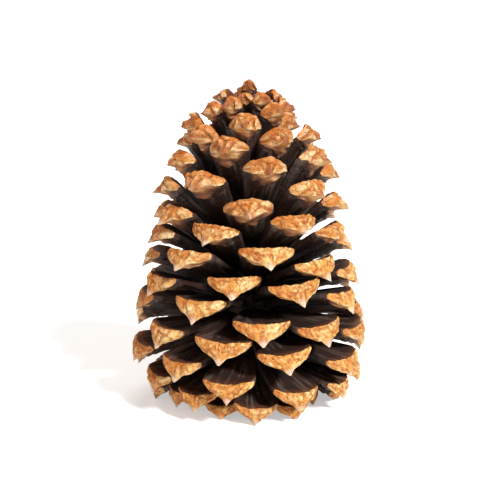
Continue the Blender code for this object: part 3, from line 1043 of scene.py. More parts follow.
@dataclass(frozen=True)
class ScaleBuilder:
    """Builds a scale's closed mesh: rings from the root to the end, and the shield that caps them."""

    shield: ShieldRelief = ShieldRelief()
    blade: BladeRelief = BladeRelief()
    column_size: float = 0.40 * MM
    fewest_columns: int = 21
    most_columns: int = 43
    shield_rows: int = 15
    blade_rows: int = 9
    lower_rows: int = 13
    crowding: float = 1.5
    end_crowding: float = 0.6
    deep_toned: float = 26.0
    tone_spread: float = 0.5
    end_falloff: float = 2.4 * MM
    falloff_power: float = 1.3
    prickle_blend: float = 2.0

    def build(self, form: ScaleForm) -> ScaleMesh:
        """Builds one scale.

        Args:
            form: The scale's form.

        Returns:
            The scale's mesh.
        """
        wide = int(2 * form.half_width / self.column_size)
        even = np.linspace(-1, 1, min(self.most_columns, max(self.fewest_columns, wide)))
        columns = even + self.end_crowding * (np.sin(even * math.pi / 2) - even)
        drops = np.linspace(0, 1, self.shield_rows)
        plain_cap, cap, cap_masks = self.cap(form, columns, drops)
        shares = self.shares(form)
        rings, ring_masks = self.rings(form, columns, drops, shares)
        offset = self.rim_of(cap) - self.rim_of(plain_cap)
        gap = (1 - shares) * form.length
        carried = np.clip(1 - gap / self.end_falloff, 0, 1) ** self.falloff_power
        rings = rings + carried[:, None, None] * offset[None, :, :]
        for mask in (Mask.UPPER_FIELD, Mask.PRICKLE, Mask.UMBO, Mask.RELIEF_TONE_AND_SHADING):
            ring_masks[mask][-1] = self.rim_of(cap_masks[mask])
        near = smooth_step(self.prickle_blend * (1 - gap / self.shield.spike_radius(form)))[:, None]
        pale = near * self.rim_of(cap_masks[Mask.PRICKLE])[None, :]
        ring_masks[Mask.PRICKLE] = np.maximum(ring_masks[Mask.PRICKLE], pale)
        points = np.concatenate((rings.reshape(-1, 3), cap[1:-1, 1:-1].reshape(-1, 3)))
        points[:, 2] = np.maximum(points[:, 2], 0.0)
        masks = {
            mask: np.concatenate((ring_masks[mask].ravel(), cap_masks[mask][1:-1, 1:-1].ravel()))
            for mask in Mask
        }
        return ScaleMesh(points, self.faces(len(columns), len(drops), len(shares)), masks)

    def shares(self, form: ScaleForm) -> Array:
        """Gives the rings' places along the scale, closer together towards its end.

        Args:
            form: The scale's form.

        Returns:
            The places, from 0 at the root to 1 at the edge.
        """
        blade = np.linspace(0, form.shoulder_share, self.blade_rows)
        lower = 1 - (1 - form.shoulder_share) * (1 - np.linspace(0, 1, self.lower_rows)) ** self.crowding
        return np.concatenate((blade[:-1], lower))

    def cap(self, form: ScaleForm, columns: Array, drops: Array) -> tuple[Array, Array, dict[Mask, Array]]:
        """Builds the shield's upper field, from the scale's edge down to the keel.

        Args:
            form: The scale's form.
            columns: The places across, from -1 to 1.
            drops: The places down, from 0 at the edge to 1 at the keel.

        Returns:
            The plain field, the field with its relief, and the field's masks.
        """
        column, drop = np.broadcast_arrays(columns[:, None], drops[None, :])
        depth = form.keel_drop(column)
        share = form.edge_share(column)
        across = form.half_width * column
        up = form.cup_at(1.0, column) - depth * drop
        out = form.keel_reach(column) * drop
        places = FieldPlaces(form, column, drop, across, depth * (1 - drop))
        swells = self.shield.swells(places)
        rise, reach = self.shield.shift(places, swells)
        masks = self.shared_masks(form, np.ones(column.shape), column, drop) | {
            Mask.UPPER_FIELD: np.ones(column.shape),
            Mask.LOWER_FIELD: np.zeros(column.shape),
            Mask.PRICKLE: self.shield.pale_prickle(form, swells.spike),
            Mask.UMBO: swells.umbo,
            Mask.RELIEF_TONE_AND_SHADING: self.shield.light(form, swells),
        }
        plain = form.points(share, across, up, out)
        return plain, form.points(share, across, up + rise, out + reach), masks

    def rings(
        self, form: ScaleForm, columns: Array, drops: Array, shares: Array
    ) -> tuple[Array, dict[Mask, Array]]:
        """Builds the rings round the scale, each over its top, down its right side and back underneath.

        Args:
            form: The scale's form.
            columns: The places across, from -1 to 1.
            drops: The places down a side, from 0 at the top to 1 at the bottom.
            shares: The rings' places along the scale.

        Returns:
            The rings' points and their masks.
        """
        down = drops[1:-1]
        column = np.concatenate((columns, np.ones(len(down)), columns[::-1], -np.ones(len(down))))
        drop = np.concatenate((np.zeros(len(columns)), down, np.ones(len(columns)), down[::-1]))
        share, column, drop = np.broadcast_arrays(shares[:, None], column[None, :], drop[None, :])
        lower = form.lower_share(share)
        place = share - (1 - form.edge_share(column)) * lower * lower
        across = form.half_width_at(share) * column
        knobs = self.blade.knobs(form, share, across)
        under = self.blade.ribs(form, share, across) * (1 - lower) - self.blade.knob_lift(knobs, lower)
        top = form.cup_at(share, column) - self.blade.hollow(share, column) * (1 - drop)
        up = top - (form.thickness_at(share, column) - under) * drop
        out = form.keel_reach(column) * drop * lower
        gap = (1 - share) * form.length
        masks = self.shared_masks(form, share, column, drop) | {
            Mask.UPPER_FIELD: np.zeros(column.shape),
            Mask.LOWER_FIELD: self.blade.lit(form, knobs, gap, column) * (drop > 0),
            Mask.PRICKLE: np.zeros(column.shape),
            Mask.UMBO: smooth_step(1 - gap / self.blade.tip_reach) * (drop == 0),
            Mask.RELIEF_TONE_AND_SHADING: np.clip(0.5 + knobs, 0, 1),
        }
        return form.points(place, across, up, out), masks

    def shared_masks(self, form: ScaleForm, share: Array, column: Array, drop: Array) -> dict[Mask, Array]:
        """Gives the masks that the whole of a scale has in the same way.

        Args:
            form: The scale's form.
            share: The place along the scale.
            column: The place across, from -1 to 1.
            drop: The place down, from 0 to 1.

        Returns:
            The masks' values at each place.
        """
        return {
            Mask.SHARE: share,
            Mask.TONE: np.full(column.shape, self.tone_of(form)),
            Mask.CROWN: np.full(column.shape, 1 - self.shield.skirt_share(form)),
            Mask.SIDE: 0.5 + 0.5 * column,
            Mask.TOP: 1 - drop,
        }

    def tone_of(self, form: ScaleForm) -> float:
        """Gives how deep the scale's colour is, drawn for each scale and deepest round the tip."""
        near_tip = max(0.0, 1.0 - form.number / self.deep_toned)
        return self.tone_spread * random.Random(form.number).random() + (1 - self.tone_spread) * near_tip

    def rim_of(self, grid: Array) -> Array:
        """Gives the values round a shield's rim, in the order of a ring's points."""
        return np.concatenate((grid[:, 0], grid[-1, 1:-1], grid[::-1, -1], grid[0, -2:0:-1]))

    def faces(self, columns: int, drops: int, rings: int) -> list[tuple[int, ...]]:
        """Lists a scale's faces.

        Args:
            columns: How many points lie across the shield.
            drops: How many lie down it.
            rings: How many rings there are.

        Returns:
            The faces, as tuples of point numbers.
        """
        side = drops - 2
        around = 2 * columns + 2 * side
        ring = np.arange(rings * around).reshape(rings, around)
        beside = np.roll(ring, -1, axis=1)
        quads = [np.stack((ring[:-1], ring[1:], beside[1:], beside[:-1]), axis=-1).reshape(-1, 4)]
        grid = np.zeros((columns, drops), int)
        top, right, bottom, left = np.split(ring[-1], (columns, columns + side, 2 * columns + side))
        grid[:, 0] = top
        grid[-1, 1:-1] = right
        grid[::-1, -1] = bottom
        grid[0, -2:0:-1] = left
        inner = np.arange((columns - 2) * side).reshape(columns - 2, side)
        grid[1:-1, 1:-1] = rings * around + inner
        corners = (grid[:-1, :-1], grid[:-1, 1:], grid[1:, 1:], grid[1:, :-1])
        quads.append(np.stack(corners, axis=-1).reshape(-1, 4))
        faces = [tuple(face) for face in np.concatenate(quads).tolist()]
        faces.append(tuple(ring[0].tolist()))
        return faces


def make_object(
    name: str, points: Array, faces: list[tuple[int, ...]], masks: dict[Mask, Array]
) -> bpy.types.Object:
    """Makes an object from points and faces, with its masks as attributes of its points.

    Args:
        name: The object's name.
        points: The points, in metres.
        faces: The faces, as tuples of point numbers.
        masks: The masks' values, one for each point.

    Returns:
        The object, linked to the scene.
    """
    mesh = bpy.data.meshes.new(name)
    mesh.from_pydata(points.tolist(), [], faces)
    for mask, values in masks.items():
        attribute = mesh.attributes.new(mask.value, "FLOAT", "POINT")
        attribute.data.foreach_set("value", np.ascontiguousarray(values, np.float32))
    mesh.update()
    mesh.shade_smooth()
    mesh.set_sharp_from_angle(angle=SHARP_ANGLE)
    item = bpy.data.objects.new(name, mesh)
    bpy.context.scene.collection.objects.link(item)
    return item


@dataclass
class ScaleSpirals:
    """The cone's scales, gathered in the spirals that wind down from its crown."""

    spiral: Spiral = field(default_factory=Spiral)
    builder: ScaleBuilder = field(default_factory=ScaleBuilder)
    strands: int = 13

    def build(self, rachis: Rachis) -> list[bpy.types.Object]:
        """Builds every strand.

        Args:
            rachis: The axis that the scales grow from.

        Returns:
            The strands' objects.
        """
        forms = self.spiral.forms(rachis)
        return [
            self.strand(strand, [form for form in forms if form.number % self.strands == strand])
            for strand in range(self.strands)
        ]

    def strand(self, strand: int, forms: list[ScaleForm]) -> bpy.types.Object:
        """Builds one strand of scales.

        Args:
            strand: The strand's number.
            forms: Its scales' forms.

        Returns:
            The strand's object.
        """
        built = [self.builder.build(form) for form in forms]
        starts = np.cumsum([0] + [len(scale.points) for scale in built]).tolist()
        points = np.concatenate([scale.points for scale in built])
        faces = [
            tuple(corner + start for corner in face)
            for start, scale in zip(starts, built)
            for face in scale.faces
        ]
        masks = {mask: np.concatenate([scale.masks[mask] for scale in built]) for mask in Mask}
        return make_object(f"scale_spiral_{strand + 1:02d}", points, faces, masks)


@dataclass(frozen=True)
class Colour:
    """A colour as a screen shows it, in steps of 255."""

    red: int
    green: int
    blue: int

    STEPS = 255
    LINE_END = 0.04045
    LINE_SLOPE = 12.92
    CURVE_LIFT = 0.055
    CURVE_POWER = 2.4

    def linear(self) -> tuple[float, ...]:
        """Gives the colour in the renderer's own values, with full opacity."""
        shares = [step / self.STEPS for step in astuple(self)]
        return (*(self.unbent(share) for share in shares), 1.0)

    def unbent(self, share: float) -> float:
        """Takes the screen's curve off one value.

        Args:
            share: The value as the screen shows it, from 0 to 1.

        Returns:
            The renderer's own value.
        """
        if share <= self.LINE_END:
            return share / self.LINE_SLOPE
        return ((share + self.CURVE_LIFT) / (1 + self.CURVE_LIFT)) ** self.CURVE_POWER


Socket = bpy.types.NodeSocket
Source = Union[bpy.types.NodeSocket, Colour, float, tuple[float, ...]]


@dataclass(frozen=True)
class Band:
    """A range of a value, and what its two ends become."""

    low: Source
    high: Source
    to_low: float = 0.0
    to_high: float = 1.0


class Nodes:
    """A short hand for placing and linking the nodes of a material or a group."""

    COLOUR_INPUTS = (0, 6, 7)
    COLOUR_OUTPUT = 2

    def __init__(self, tree: bpy.types.NodeTree) -> None:
        """Keeps the node tree.

        Args:
            tree: The tree to build in.
        """
        self.tree = tree

    def add(self, kind: str, **settings: object) -> bpy.types.Node:
        """Adds a node.

        Args:
            kind: The node's type.
            settings: The values of its own settings.

        Returns:
            The node.
        """
        node = self.tree.nodes.new(kind)
        for name, value in settings.items():
            setattr(node, name, value)
        return node

    def feed(self, socket: Socket, source: Source) -> None:
        """Feeds a socket from another node's output, or sets its value.

        Args:
            socket: The input socket.
            source: An output socket, a colour or a plain value.
        """
        if isinstance(source, bpy.types.NodeSocket):
            self.tree.links.new(source, socket)
        else:
            socket.default_value = source.linear() if isinstance(source, Colour) else source

    def feed_all(self, node: bpy.types.Node, sources: dict[str, Source]) -> bpy.types.Node:
        """Feeds a node's named inputs.

        Args:
            node: The node.
            sources: What each input is fed.

        Returns:
            The same node.
        """
        for name, source in sources.items():
            self.feed(node.inputs[name], source)
        return node

    def mix(self, share: Source, low: Source, high: Source) -> Socket:
        """Mixes two colours.

        Args:
            share: The second colour's share.
            low: The first colour.
            high: The second colour.

        Returns:
            The mixed colour.
        """
        node = self.add("ShaderNodeMix", data_type="RGBA")
        for number, source in zip(self.COLOUR_INPUTS, (share, low, high)):
            self.feed(node.inputs[number], source)
        return node.outputs[self.COLOUR_OUTPUT]

    def math(self, operation: str, first: Source, second: Source, held: bool = False) -> Socket:
        """Works out one sum.

        Args:
            operation: The sum's kind.
            first: The first value.
            second: The second value.
            held: Whether the result is held between 0 and 1.

        Returns:
            The result's socket.
        """
        node = self.add("ShaderNodeMath", operation=operation, use_clamp=held)
        for socket, source in zip(node.inputs, (first, second)):
            self.feed(socket, source)
        return node.outputs[0]

    def plus(self, first: Source, second: Source, held: bool = False) -> Socket:
        """Adds two values."""
        return self.math("ADD", first, second, held)

    def times(self, first: Source, second: Source) -> Socket:
        """Multiplies two values."""
        return self.math("MULTIPLY", first, second)

    def centred(self, value: Source, factor: Source) -> Socket:
        """Gives how far a value lies above a half, times a factor."""
        return self.times(self.math("SUBTRACT", value, 0.5), factor)

    def span(self, value: Source, band: Band) -> Socket:
        """Stretches a range of a value softly onto another range.

        Args:
            value: The value.
            band: The range, and what its ends become.

        Returns:
            The result's socket.
        """
        node = self.add("ShaderNodeMapRange", interpolation_type="SMOOTHSTEP")
        for socket, source in zip(node.inputs, (value, band.low, band.high, band.to_low, band.to_high)):
            self.feed(socket, source)
        return node.outputs[0]

    def mask(self, mask: Mask) -> Socket:
        """Reads one of the mesh's masks."""
        return self.add("ShaderNodeAttribute", attribute_name=mask.value).outputs["Fac"]

    def object_place(self) -> Socket:
        """Gives the place on the object itself."""
        return self.add("ShaderNodeTexCoord").outputs["Object"]

    def noise(self, place: Socket, size: Source, detail: float, roughness: float = 0.5) -> bpy.types.Node:
        """Adds soft noise.

        Args:
            place: The place that it is read at.
            size: How many lumps it has to a metre, or to a step of the place.
            detail: How many finer layers it has.
            roughness: How strong they are.

        Returns:
            The node.
        """
        sources = {"Vector": place, "Scale": size, "Detail": detail, "Roughness": roughness}
        return self.feed_all(self.add("ShaderNodeTexNoise"), sources)

    def group(self, tree: bpy.types.NodeTree, values: dict[str, Source]) -> Socket:
        """Places a group with its own values, and gives its only output."""
        return self.feed_all(self.add("ShaderNodeGroup", node_tree=tree), values).outputs[0]


class Effects:
    """The shader groups that make up the cone's wood."""

    PATCH_DETAIL = 4.0
    PATCH_ROUGHNESS = 0.6
    FINE_DETAIL = 3.0
    STREAK_BAND = Band(0.3, 0.7)
    PIT_SHARE = 0.6

    @staticmethod
    def group(name: str, inputs: tuple[str, ...], output: str) -> tuple[Nodes, dict[str, Socket], Socket]:
        """Starts a shader node group with float sockets.

        Args:
            name: The group's name.
            inputs: Its inputs' names.
            output: Its output's name.

        Returns:
            The group's nodes, its inputs by name, and the socket that its result goes into.
        """
        tree = bpy.data.node_groups.new(name, "ShaderNodeTree")
        for label in inputs:
            tree.interface.new_socket(label, in_out="INPUT", socket_type="NodeSocketFloat")
        tree.interface.new_socket(output, in_out="OUTPUT", socket_type="NodeSocketFloat")
        nodes = Nodes(tree)
        start = nodes.add("NodeGroupInput")
        given = {label: start.outputs[label] for label in inputs}
        return nodes, given, nodes.add("NodeGroupOutput").inputs[output]

    @classmethod
    def mottle(cls) -> bpy.types.NodeTree:
        """Builds the soft patches of deeper and paler wood.

        Returns:
            The group, which gives a mask from 0 to 1.
        """
        nodes, given, result = cls.group("wood_mottle", ("Patch Size", "Contrast"), "Patches")
        noise = nodes.noise(nodes.object_place(), given["Patch Size"], cls.PATCH_DETAIL, cls.PATCH_ROUGHNESS)
        widened = nodes.centred(noise.outputs[0], given["Contrast"])
        nodes.feed(result, nodes.plus(widened, 0.5, held=True))
        return nodes.tree

    @classmethod
    def streaks(cls) -> bpy.types.NodeTree:
        """Builds the streaks that run lengthwise along each scale.

        Returns:
            The group, which gives a mask from 0 to 1.
        """
        sizes = ("Streaks Across", "Streaks Along", "Apart")
        nodes, given, result = cls.group("wood_streaks", sizes, "Streaks")
        place = nodes.add("ShaderNodeCombineXYZ")
        for socket, mask, size in zip(place.inputs, (Mask.SIDE, Mask.SHARE, Mask.TONE), sizes):
            nodes.feed(socket, nodes.times(nodes.mask(mask), given[size]))
        noise = nodes.noise(place.outputs["Vector"], 1.0, cls.FINE_DETAIL)
        nodes.feed(result, nodes.span(noise.outputs[0], cls.STREAK_BAND))
        return nodes.tree

    @classmethod
    def creases(cls) -> bpy.types.NodeTree:
        """Builds the net of thin creases on the shields.

        Returns:
            The group, which gives a mask from 0 in a crease to 1 beside it.
        """
        inputs = ("Net Size", "Warp", "Warp Size", "Line")
        nodes, given, result = cls.group("wood_creases", inputs, "Beside")
        place = nodes.object_place()
        noise = nodes.noise(place, given["Warp Size"], cls.FINE_DETAIL)
        shift = nodes.add("ShaderNodeVectorMath", operation="SCALE")
        nodes.feed_all(shift, {"Vector": noise.outputs["Color"], "Scale": given["Warp"]})
        warped = nodes.add("ShaderNodeVectorMath", operation="ADD")
        for socket, source in zip(warped.inputs, (place, shift.outputs["Vector"])):
            nodes.feed(socket, source)
        net = nodes.add("ShaderNodeTexVoronoi", feature="DISTANCE_TO_EDGE")
        nodes.feed_all(net, {"Vector": warped.outputs["Vector"], "Scale": given["Net Size"]})
        nodes.feed(result, nodes.span(net.outputs["Distance"], Band(0.0, given["Line"])))
        return nodes.tree

    @classmethod
    def crackle(cls) -> bpy.types.NodeTree:
        """Builds the fine pits and cracks of dry wood.

        Returns:
            The group, which gives a height from 0 to 1.
        """
        nodes, given, result = cls.group("wood_crackle", ("Grain Size",), "Height")
        place = nodes.object_place()
        cells = nodes.add("ShaderNodeTexVoronoi", feature="F1")
        nodes.feed_all(cells, {"Vector": place, "Scale": given["Grain Size"]})
        noise = nodes.noise(place, given["Grain Size"], cls.FINE_DETAIL)
        pits = nodes.times(cells.outputs["Distance"], cls.PIT_SHARE)
        nodes.feed(result, nodes.plus(pits, noise.outputs[0]))
        return nodes.tree


@dataclass(frozen=True)
class ConeWood:
    """The cone's wood: tan and orange upper fields, cream prickles, brown lower fields and dark blades.

    Each band says over which values of a mask one colour gives way to the next, and each share how far
    that goes.
    """

    # Painted shade in the creases of the shields.
    crease: Colour = Colour(112, 58, 28)
    # Painted shade in the net of thin creases.
    thin_crease_shade: Colour = Colour(140, 74, 36)
    field_low: Colour = Colour(184, 108, 46)
    field_high: Colour = Colour(240, 208, 140)
    # A painted highlight on the highest lumps.
    field_highlight: Colour = Colour(250, 230, 184)
    ochre: Colour = Colour(228, 174, 92)
    # Orange in soft patches and towards each shield's left side, where it is painted shade.
    orange: Colour = Colour(214, 138, 54)
    deep_brown: Colour = Colour(158, 92, 52)
    crown_brown: Colour = Colour(168, 98, 48)
    crown_orange: Colour = Colour(204, 116, 44)
    umbo_red: Colour = Colour(142, 80, 48)
    prickle: Colour = Colour(226, 199, 176)
    lower_near: Colour = Colour(208, 158, 106)
    lower_field: Colour = Colour(150, 102, 72)
    lower_far: Colour = Colour(92, 62, 50)
    blade: Colour = Colour(60, 39, 31)
    blade_grey: Colour = Colour(46, 38, 36)
    # Lengthwise streaks of the grain, lit up as a painted sheen.
    blade_streak_sheen: Colour = Colour(108, 92, 84)
    # Darker towards the root, deep among the scales: partly the wood's own dark, partly painted shade.
    root: Colour = Colour(36, 25, 20)
    upper_band: Band = Band(0.55, 0.95)
    fleck_band: Band = Band(0.45, 0.8)
    fleck_light: float = 0.22
    crease_shade_band: Band = Band(-0.1, 0.2)
    lobe_band: Band = Band(0.2, 0.6)
    ochre_band: Band = Band(0.3, 0.7)
    orange_left_shade_shift: float = 0.25
    orange_left_shade_band: Band = Band(-0.25, 0.75, 0.0, 0.65)
    tone_share: float = 0.5
    crown_share: float = 0.52
    top_raggedness: float = 0.5
    top_band: Band = Band(0.6, 1.2, 0.0, 0.7)
    highlight_band: Band = Band(0.6, 0.85)
    highlight_share: float = 0.7
    crown_highlight_dimming: float = 0.3
    thin_crease_shade_band: Band = Band(0.0, 1.0, 0.32, 0.0)
    umbo_band: Band = Band(0.0, 1.0, 0.2, 0.75)
    prickle_share: float = 0.85
    # A painted highlight on the tops of the lower field's knobs.
    knob_highlight: float = 0.5
    lower_band: Band = Band(0.0, 0.5)
    near_band: Band = Band(0.45, 1.0)
    carried_band: Band = Band(0.5, 1.0, 0.0, 0.6)
    border_raggedness: float = 0.16
    border_band: Band = Band(0.04, 0.13)
    grey_band: Band = Band(0.3, 0.75)
    sheen_streak_band: Band = Band(0.55, 0.9, 0.0, 0.6)
    root_dark_and_shade_band: Band = Band(0.25, 0.8)
    tip_band: Band = Band(0.0, 1.0, 0.25, 0.9)
    field_roughness: float = 0.40
    blade_roughness: float = 0.40
    fleck_roughness: float = 0.12
    specular: float = 0.35
    net_depth: float = 0.8
    bump_distance: float = 0.26 * MM
    bump_strength: float = 0.8

    def build(self) -> bpy.types.Material:
        """Builds the wood's material.

        Returns:
            The material.
        """
        material = bpy.data.materials.new("cone_wood_fine")
        material.use_nodes = True
        material.node_tree.nodes.clear()
        nodes = Nodes(material.node_tree)
        mottle = Effects.mottle()
        patches = nodes.group(mottle, {"Patch Size": 260.0, "Contrast": 2.4})
        flecks = nodes.group(mottle, {"Patch Size": 900.0, "Contrast": 2.6})
        grain = nodes.group(Effects.crackle(), {"Grain Size": 1250.0})
        sizes = {"Net Size": 430.0, "Warp": 0.0022, "Warp Size": 380.0, "Line": 0.09}
        net = nodes.group(Effects.creases(), sizes)
        beside = nodes.math("MAXIMUM", net, nodes.span(flecks, self.fleck_band))
        upper = nodes.span(nodes.mask(Mask.UPPER_FIELD), self.upper_band)

        field_colour = self.field_colour(nodes, patches, flecks, beside)
        colour = self.lower_colour(nodes, flecks, self.dark_colour(nodes, patches), field_colour)
        colour = nodes.mix(upper, colour, field_colour)
        horn = nodes.times(nodes.mask(Mask.PRICKLE), self.prickle_share)
        rough = nodes.span(upper, Band(0.0, 1.0, self.blade_roughness, self.field_roughness))
        height = nodes.plus(grain, nodes.times(nodes.times(beside, upper), self.net_depth))
        bump = nodes.feed_all(nodes.add("ShaderNodeBump"), {
            "Strength": self.bump_strength,
            "Distance": self.bump_distance,
            "Height": height,
        })
        shader = nodes.feed_all(nodes.add("ShaderNodeBsdfPrincipled"), {
            "Base Color": nodes.mix(horn, colour, self.prickle),
            "Roughness": nodes.plus(rough, nodes.times(flecks, self.fleck_roughness)),
            "Specular IOR Level": self.specular,
            "Normal": bump.outputs["Normal"],
        })
        nodes.feed_all(nodes.add("ShaderNodeOutputMaterial"), {"Surface": shader.outputs["BSDF"]})
        return material

    def field_colour(self, nodes: Nodes, patches: Socket, flecks: Socket, beside: Socket) -> Socket:
        """Builds the upper field's colour: painted shade deep in its creases and on its left side, and pale
        on its lobes, partly as paler wood and partly as painted highlight.

        Args:
            nodes: The material's nodes.
            patches: The soft patches.
            flecks: The fine flecks.
            beside: The net of thin creases, 0 in a crease.

        Returns:
            The colour.
        """
        crown = nodes.mask(Mask.CROWN)
        # Paleness from the relief and the flecks: partly paler wood, partly painted highlight and painted
        # shade.
        relief_tone_and_shading = nodes.plus(nodes.mask(Mask.RELIEF_TONE_AND_SHADING), nodes.centred(flecks, self.fleck_light))
        # Painted shade in the creases, where the relief is low.
        low = nodes.mix(nodes.span(relief_tone_and_shading, self.crease_shade_band), self.crease, self.field_low)
        warm = nodes.mix(nodes.span(patches, self.ochre_band), self.field_high, self.ochre)
        # Orange in soft patches, more of it towards each shield's left side: that part is painted shade.
        left = nodes.math("SUBTRACT", nodes.plus(patches, self.orange_left_shade_shift), nodes.mask(Mask.SIDE))
        warm = nodes.mix(nodes.span(left, self.orange_left_shade_band), warm, self.orange)
        full = nodes.mix(nodes.span(relief_tone_and_shading, self.lobe_band), low, warm)
        full = nodes.mix(nodes.times(nodes.mask(Mask.TONE), self.tone_share), full, self.deep_brown)
        full = nodes.mix(nodes.times(crown, self.crown_share), full, self.crown_brown)
        top = nodes.plus(nodes.mask(Mask.TOP), nodes.times(patches, self.top_raggedness))
        full = nodes.mix(nodes.times(nodes.span(top, self.top_band), crown), full, self.crown_orange)
        # A painted highlight on the highest lumps, weaker on the crown.
        painted_highlight = nodes.math("SUBTRACT", self.highlight_share, nodes.times(crown, self.crown_highlight_dimming))
        painted_highlight = nodes.times(nodes.span(relief_tone_and_shading, self.highlight_band), painted_highlight)
        full = nodes.mix(painted_highlight, full, self.field_highlight)
        # Painted shade in the net of thin creases.
        full = nodes.mix(nodes.span(beside, self.thin_crease_shade_band), full, self.thin_crease_shade)
        umbo = nodes.times(nodes.mask(Mask.UMBO), nodes.span(crown, self.umbo_band))
        return nodes.mix(umbo, full, self.umbo_red)

    def lower_colour(self, nodes: Nodes, flecks: Socket, dark: Socket, field_colour: Socket) -> Socket:
        """Builds the colour below the keel: the lower field's brown, and past its ragged border the blade's.

        Args:
            nodes: The material's nodes.
            flecks: The fine flecks.
            dark: The blade's colour.
            field_colour: The upper field's colour, which a crown scale's lower field shares.

        Returns:
            The colour.
        """
        lower = nodes.mask(Mask.LOWER_FIELD)
        # Knob tops get a painted highlight; the field darkens away from the keel, partly its own brown and
        # partly painted shade.
        lit = nodes.plus(lower, nodes.centred(nodes.mask(Mask.RELIEF_TONE_AND_SHADING), self.knob_highlight))
        brown = nodes.mix(nodes.span(lit, self.lower_band), self.lower_far, self.lower_field)
        brown = nodes.mix(nodes.span(lit, self.near_band), brown, self.lower_near)
        carried = nodes.times(nodes.span(lit, self.carried_band), nodes.mask(Mask.CROWN))
        brown = nodes.mix(carried, brown, field_colour)
        ragged = nodes.plus(lower, nodes.centred(flecks, self.border_raggedness))
        return nodes.mix(nodes.span(ragged, self.border_band), dark, brown)

    def dark_colour(self, nodes: Nodes, patches: Socket) -> Socket:
        """Builds the blade's colour, with streaks of painted sheen, darker towards its root partly as
        painted shade.

        Args:
            nodes: The material's nodes.
            patches: The soft patches.

        Returns:
            The colour.
        """
        sizes = {"Streaks Across": 9.0, "Streaks Along": 1.6, "Apart": 80.0}
        streaks = nodes.group(Effects.streaks(), sizes)
        blade = nodes.mix(nodes.span(patches, self.grey_band), self.blade, self.blade_grey)
        # Streaks of the grain, lit up as a painted sheen.
        blade = nodes.mix(nodes.span(streaks, self.sheen_streak_band), blade, self.blade_streak_sheen)
        # Darker towards the root: partly the wood's own dark, partly painted shade among the scales.
        blade = nodes.mix(nodes.span(nodes.mask(Mask.SHARE), self.root_dark_and_shade_band), self.root, blade)
        tip = nodes.times(nodes.mask(Mask.UMBO), nodes.span(nodes.mask(Mask.CROWN), self.tip_band))
        return nodes.mix(tip, blade, self.umbo_red)


@dataclass(frozen=True)
class SoftLight:
    """One soft light, so wide and far that it falls evenly on cone and floor.

    direction is the way from the cone to the light, and softness is how wide the light looks from the
    cone, in degrees.
    """

    name: str
    direction: Triple
    softness: float
    strength: float
    colour: Triple

    def build(self) -> None:
        """Places the light."""
        data = bpy.data.lights.new(self.name, "SUN")
        data.energy = self.strength
        data.color = self.colour
        data.angle = math.radians(self.softness)
        item = bpy.data.objects.new(self.name, data)
        item.location = Vector(self.direction)
        item.rotation_euler = (-item.location).to_track_quat("-Z", "Y").to_euler()
        bpy.context.scene.collection.objects.link(item)


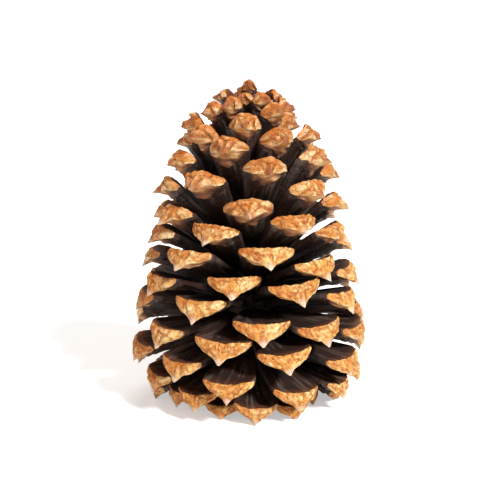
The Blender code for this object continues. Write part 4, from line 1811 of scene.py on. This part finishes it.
@dataclass(frozen=True)
class Studio:
    """The pale floor, the soft lights and the camera."""

    distance: float = 0.300
    elevation: float = math.radians(10.0)
    aim: Triple = (0.0, 0.0, 0.0468)
    image_size: int = 500
    metres_per_pixel: float = 0.307e-3
    centre_pixel: tuple[float, float] = (249.6, 248.7)
    sensor: float = 36.0
    floor_size: float = 6.0
    floor_grey: float = 0.93
    floor_roughness: float = 0.9
    floor_glow: float = 0.45
    backdrop: float = 1.1
    fill: float = 0.27
    lights: tuple[SoftLight, ...] = (
        SoftLight("key", (0.50, -0.62, 0.60), 8.0, 3.8, (1.0, 0.99, 0.97)),
        SoftLight("fill", (-0.80, -0.52, 0.28), 40.0, 0.75, (1.0, 0.60, 0.36)),
        SoftLight("top", (0.10, 0.30, 0.95), 30.0, 0.8, (1.0, 0.97, 0.93)),
    )

    def build(self) -> None:
        """Builds the floor, lights, world and camera."""
        self.camera()
        self.floor()
        self.world()
        for light in self.lights:
            light.build()
        settings = bpy.context.scene.view_settings
        settings.view_transform = "Standard"
        settings.look = "None"

    def camera(self) -> None:
        """Places the camera as the photograph's stood, a little above level and straight in front."""
        data = bpy.data.cameras.new("photo_camera")
        item = bpy.data.objects.new("photo_camera", data)
        bpy.context.scene.collection.objects.link(item)
        direction = Vector((0.0, -math.cos(self.elevation), math.sin(self.elevation)))
        item.location = Vector(self.aim) + direction * self.distance
        item.rotation_euler = (-direction).to_track_quat("-Z", "Y").to_euler()
        data.sensor_width = self.sensor
        data.lens = self.distance / (self.metres_per_pixel * self.image_size) * self.sensor
        data.shift_x = (self.image_size / 2 - self.centre_pixel[0]) / self.image_size
        data.shift_y = (self.centre_pixel[1] - self.image_size / 2) / self.image_size
        data.dof.use_dof = False
        bpy.context.scene.camera = item

    def floor(self) -> None:
        """Lays the pale floor."""
        bpy.ops.mesh.primitive_plane_add(size=self.floor_size)
        item = bpy.context.object
        item.name = "floor"
        material = bpy.data.materials.new("pale_floor")
        material.use_nodes = True
        nodes = Nodes(material.node_tree)
        nodes.feed_all(material.node_tree.nodes["Principled BSDF"], {
            "Base Color": (self.floor_grey, self.floor_grey, self.floor_grey, 1.0),
            "Roughness": self.floor_roughness,
            "Emission Color": WHITE,
            "Emission Strength": self.seen(nodes, 0.0, self.floor_glow),
        })
        item.data.materials.append(material)

    def world(self) -> None:
        """Sets the even light of a white room, brighter where the camera sees it."""
        world = bpy.data.worlds.new("white_room")
        world.use_nodes = True
        nodes = Nodes(world.node_tree)
        strength = self.seen(nodes, self.fill, self.backdrop)
        nodes.feed_all(world.node_tree.nodes["Background"], {"Color": WHITE, "Strength": strength})
        bpy.context.scene.world = world

    def seen(self, nodes: Nodes, unseen: float, seen: float) -> Socket:
        """Gives one value where the camera looks at a thing, and another where its light falls."""
        path = nodes.add("ShaderNodeLightPath")
        return nodes.span(path.outputs["Is Camera Ray"], Band(0.0, 1.0, unseen, seen))


def main() -> None:
    """Builds the cone and the studio round it."""
    logging.basicConfig(level=logging.INFO, format="%(name)s: %(message)s")
    Studio().build()
    rachis = Rachis()
    pieces = [rachis.build(), *ScaleSpirals().build(rachis)]
    wood = ConeWood().build()
    for piece in pieces:
        piece.data.materials.append(wood)
        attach(piece, BODY)
        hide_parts(NODE)
        LOG.info("%s: %d points, %d faces", piece.name, len(piece.data.vertices), len(piece.data.polygons))


if __name__ == "__main__":
    main()
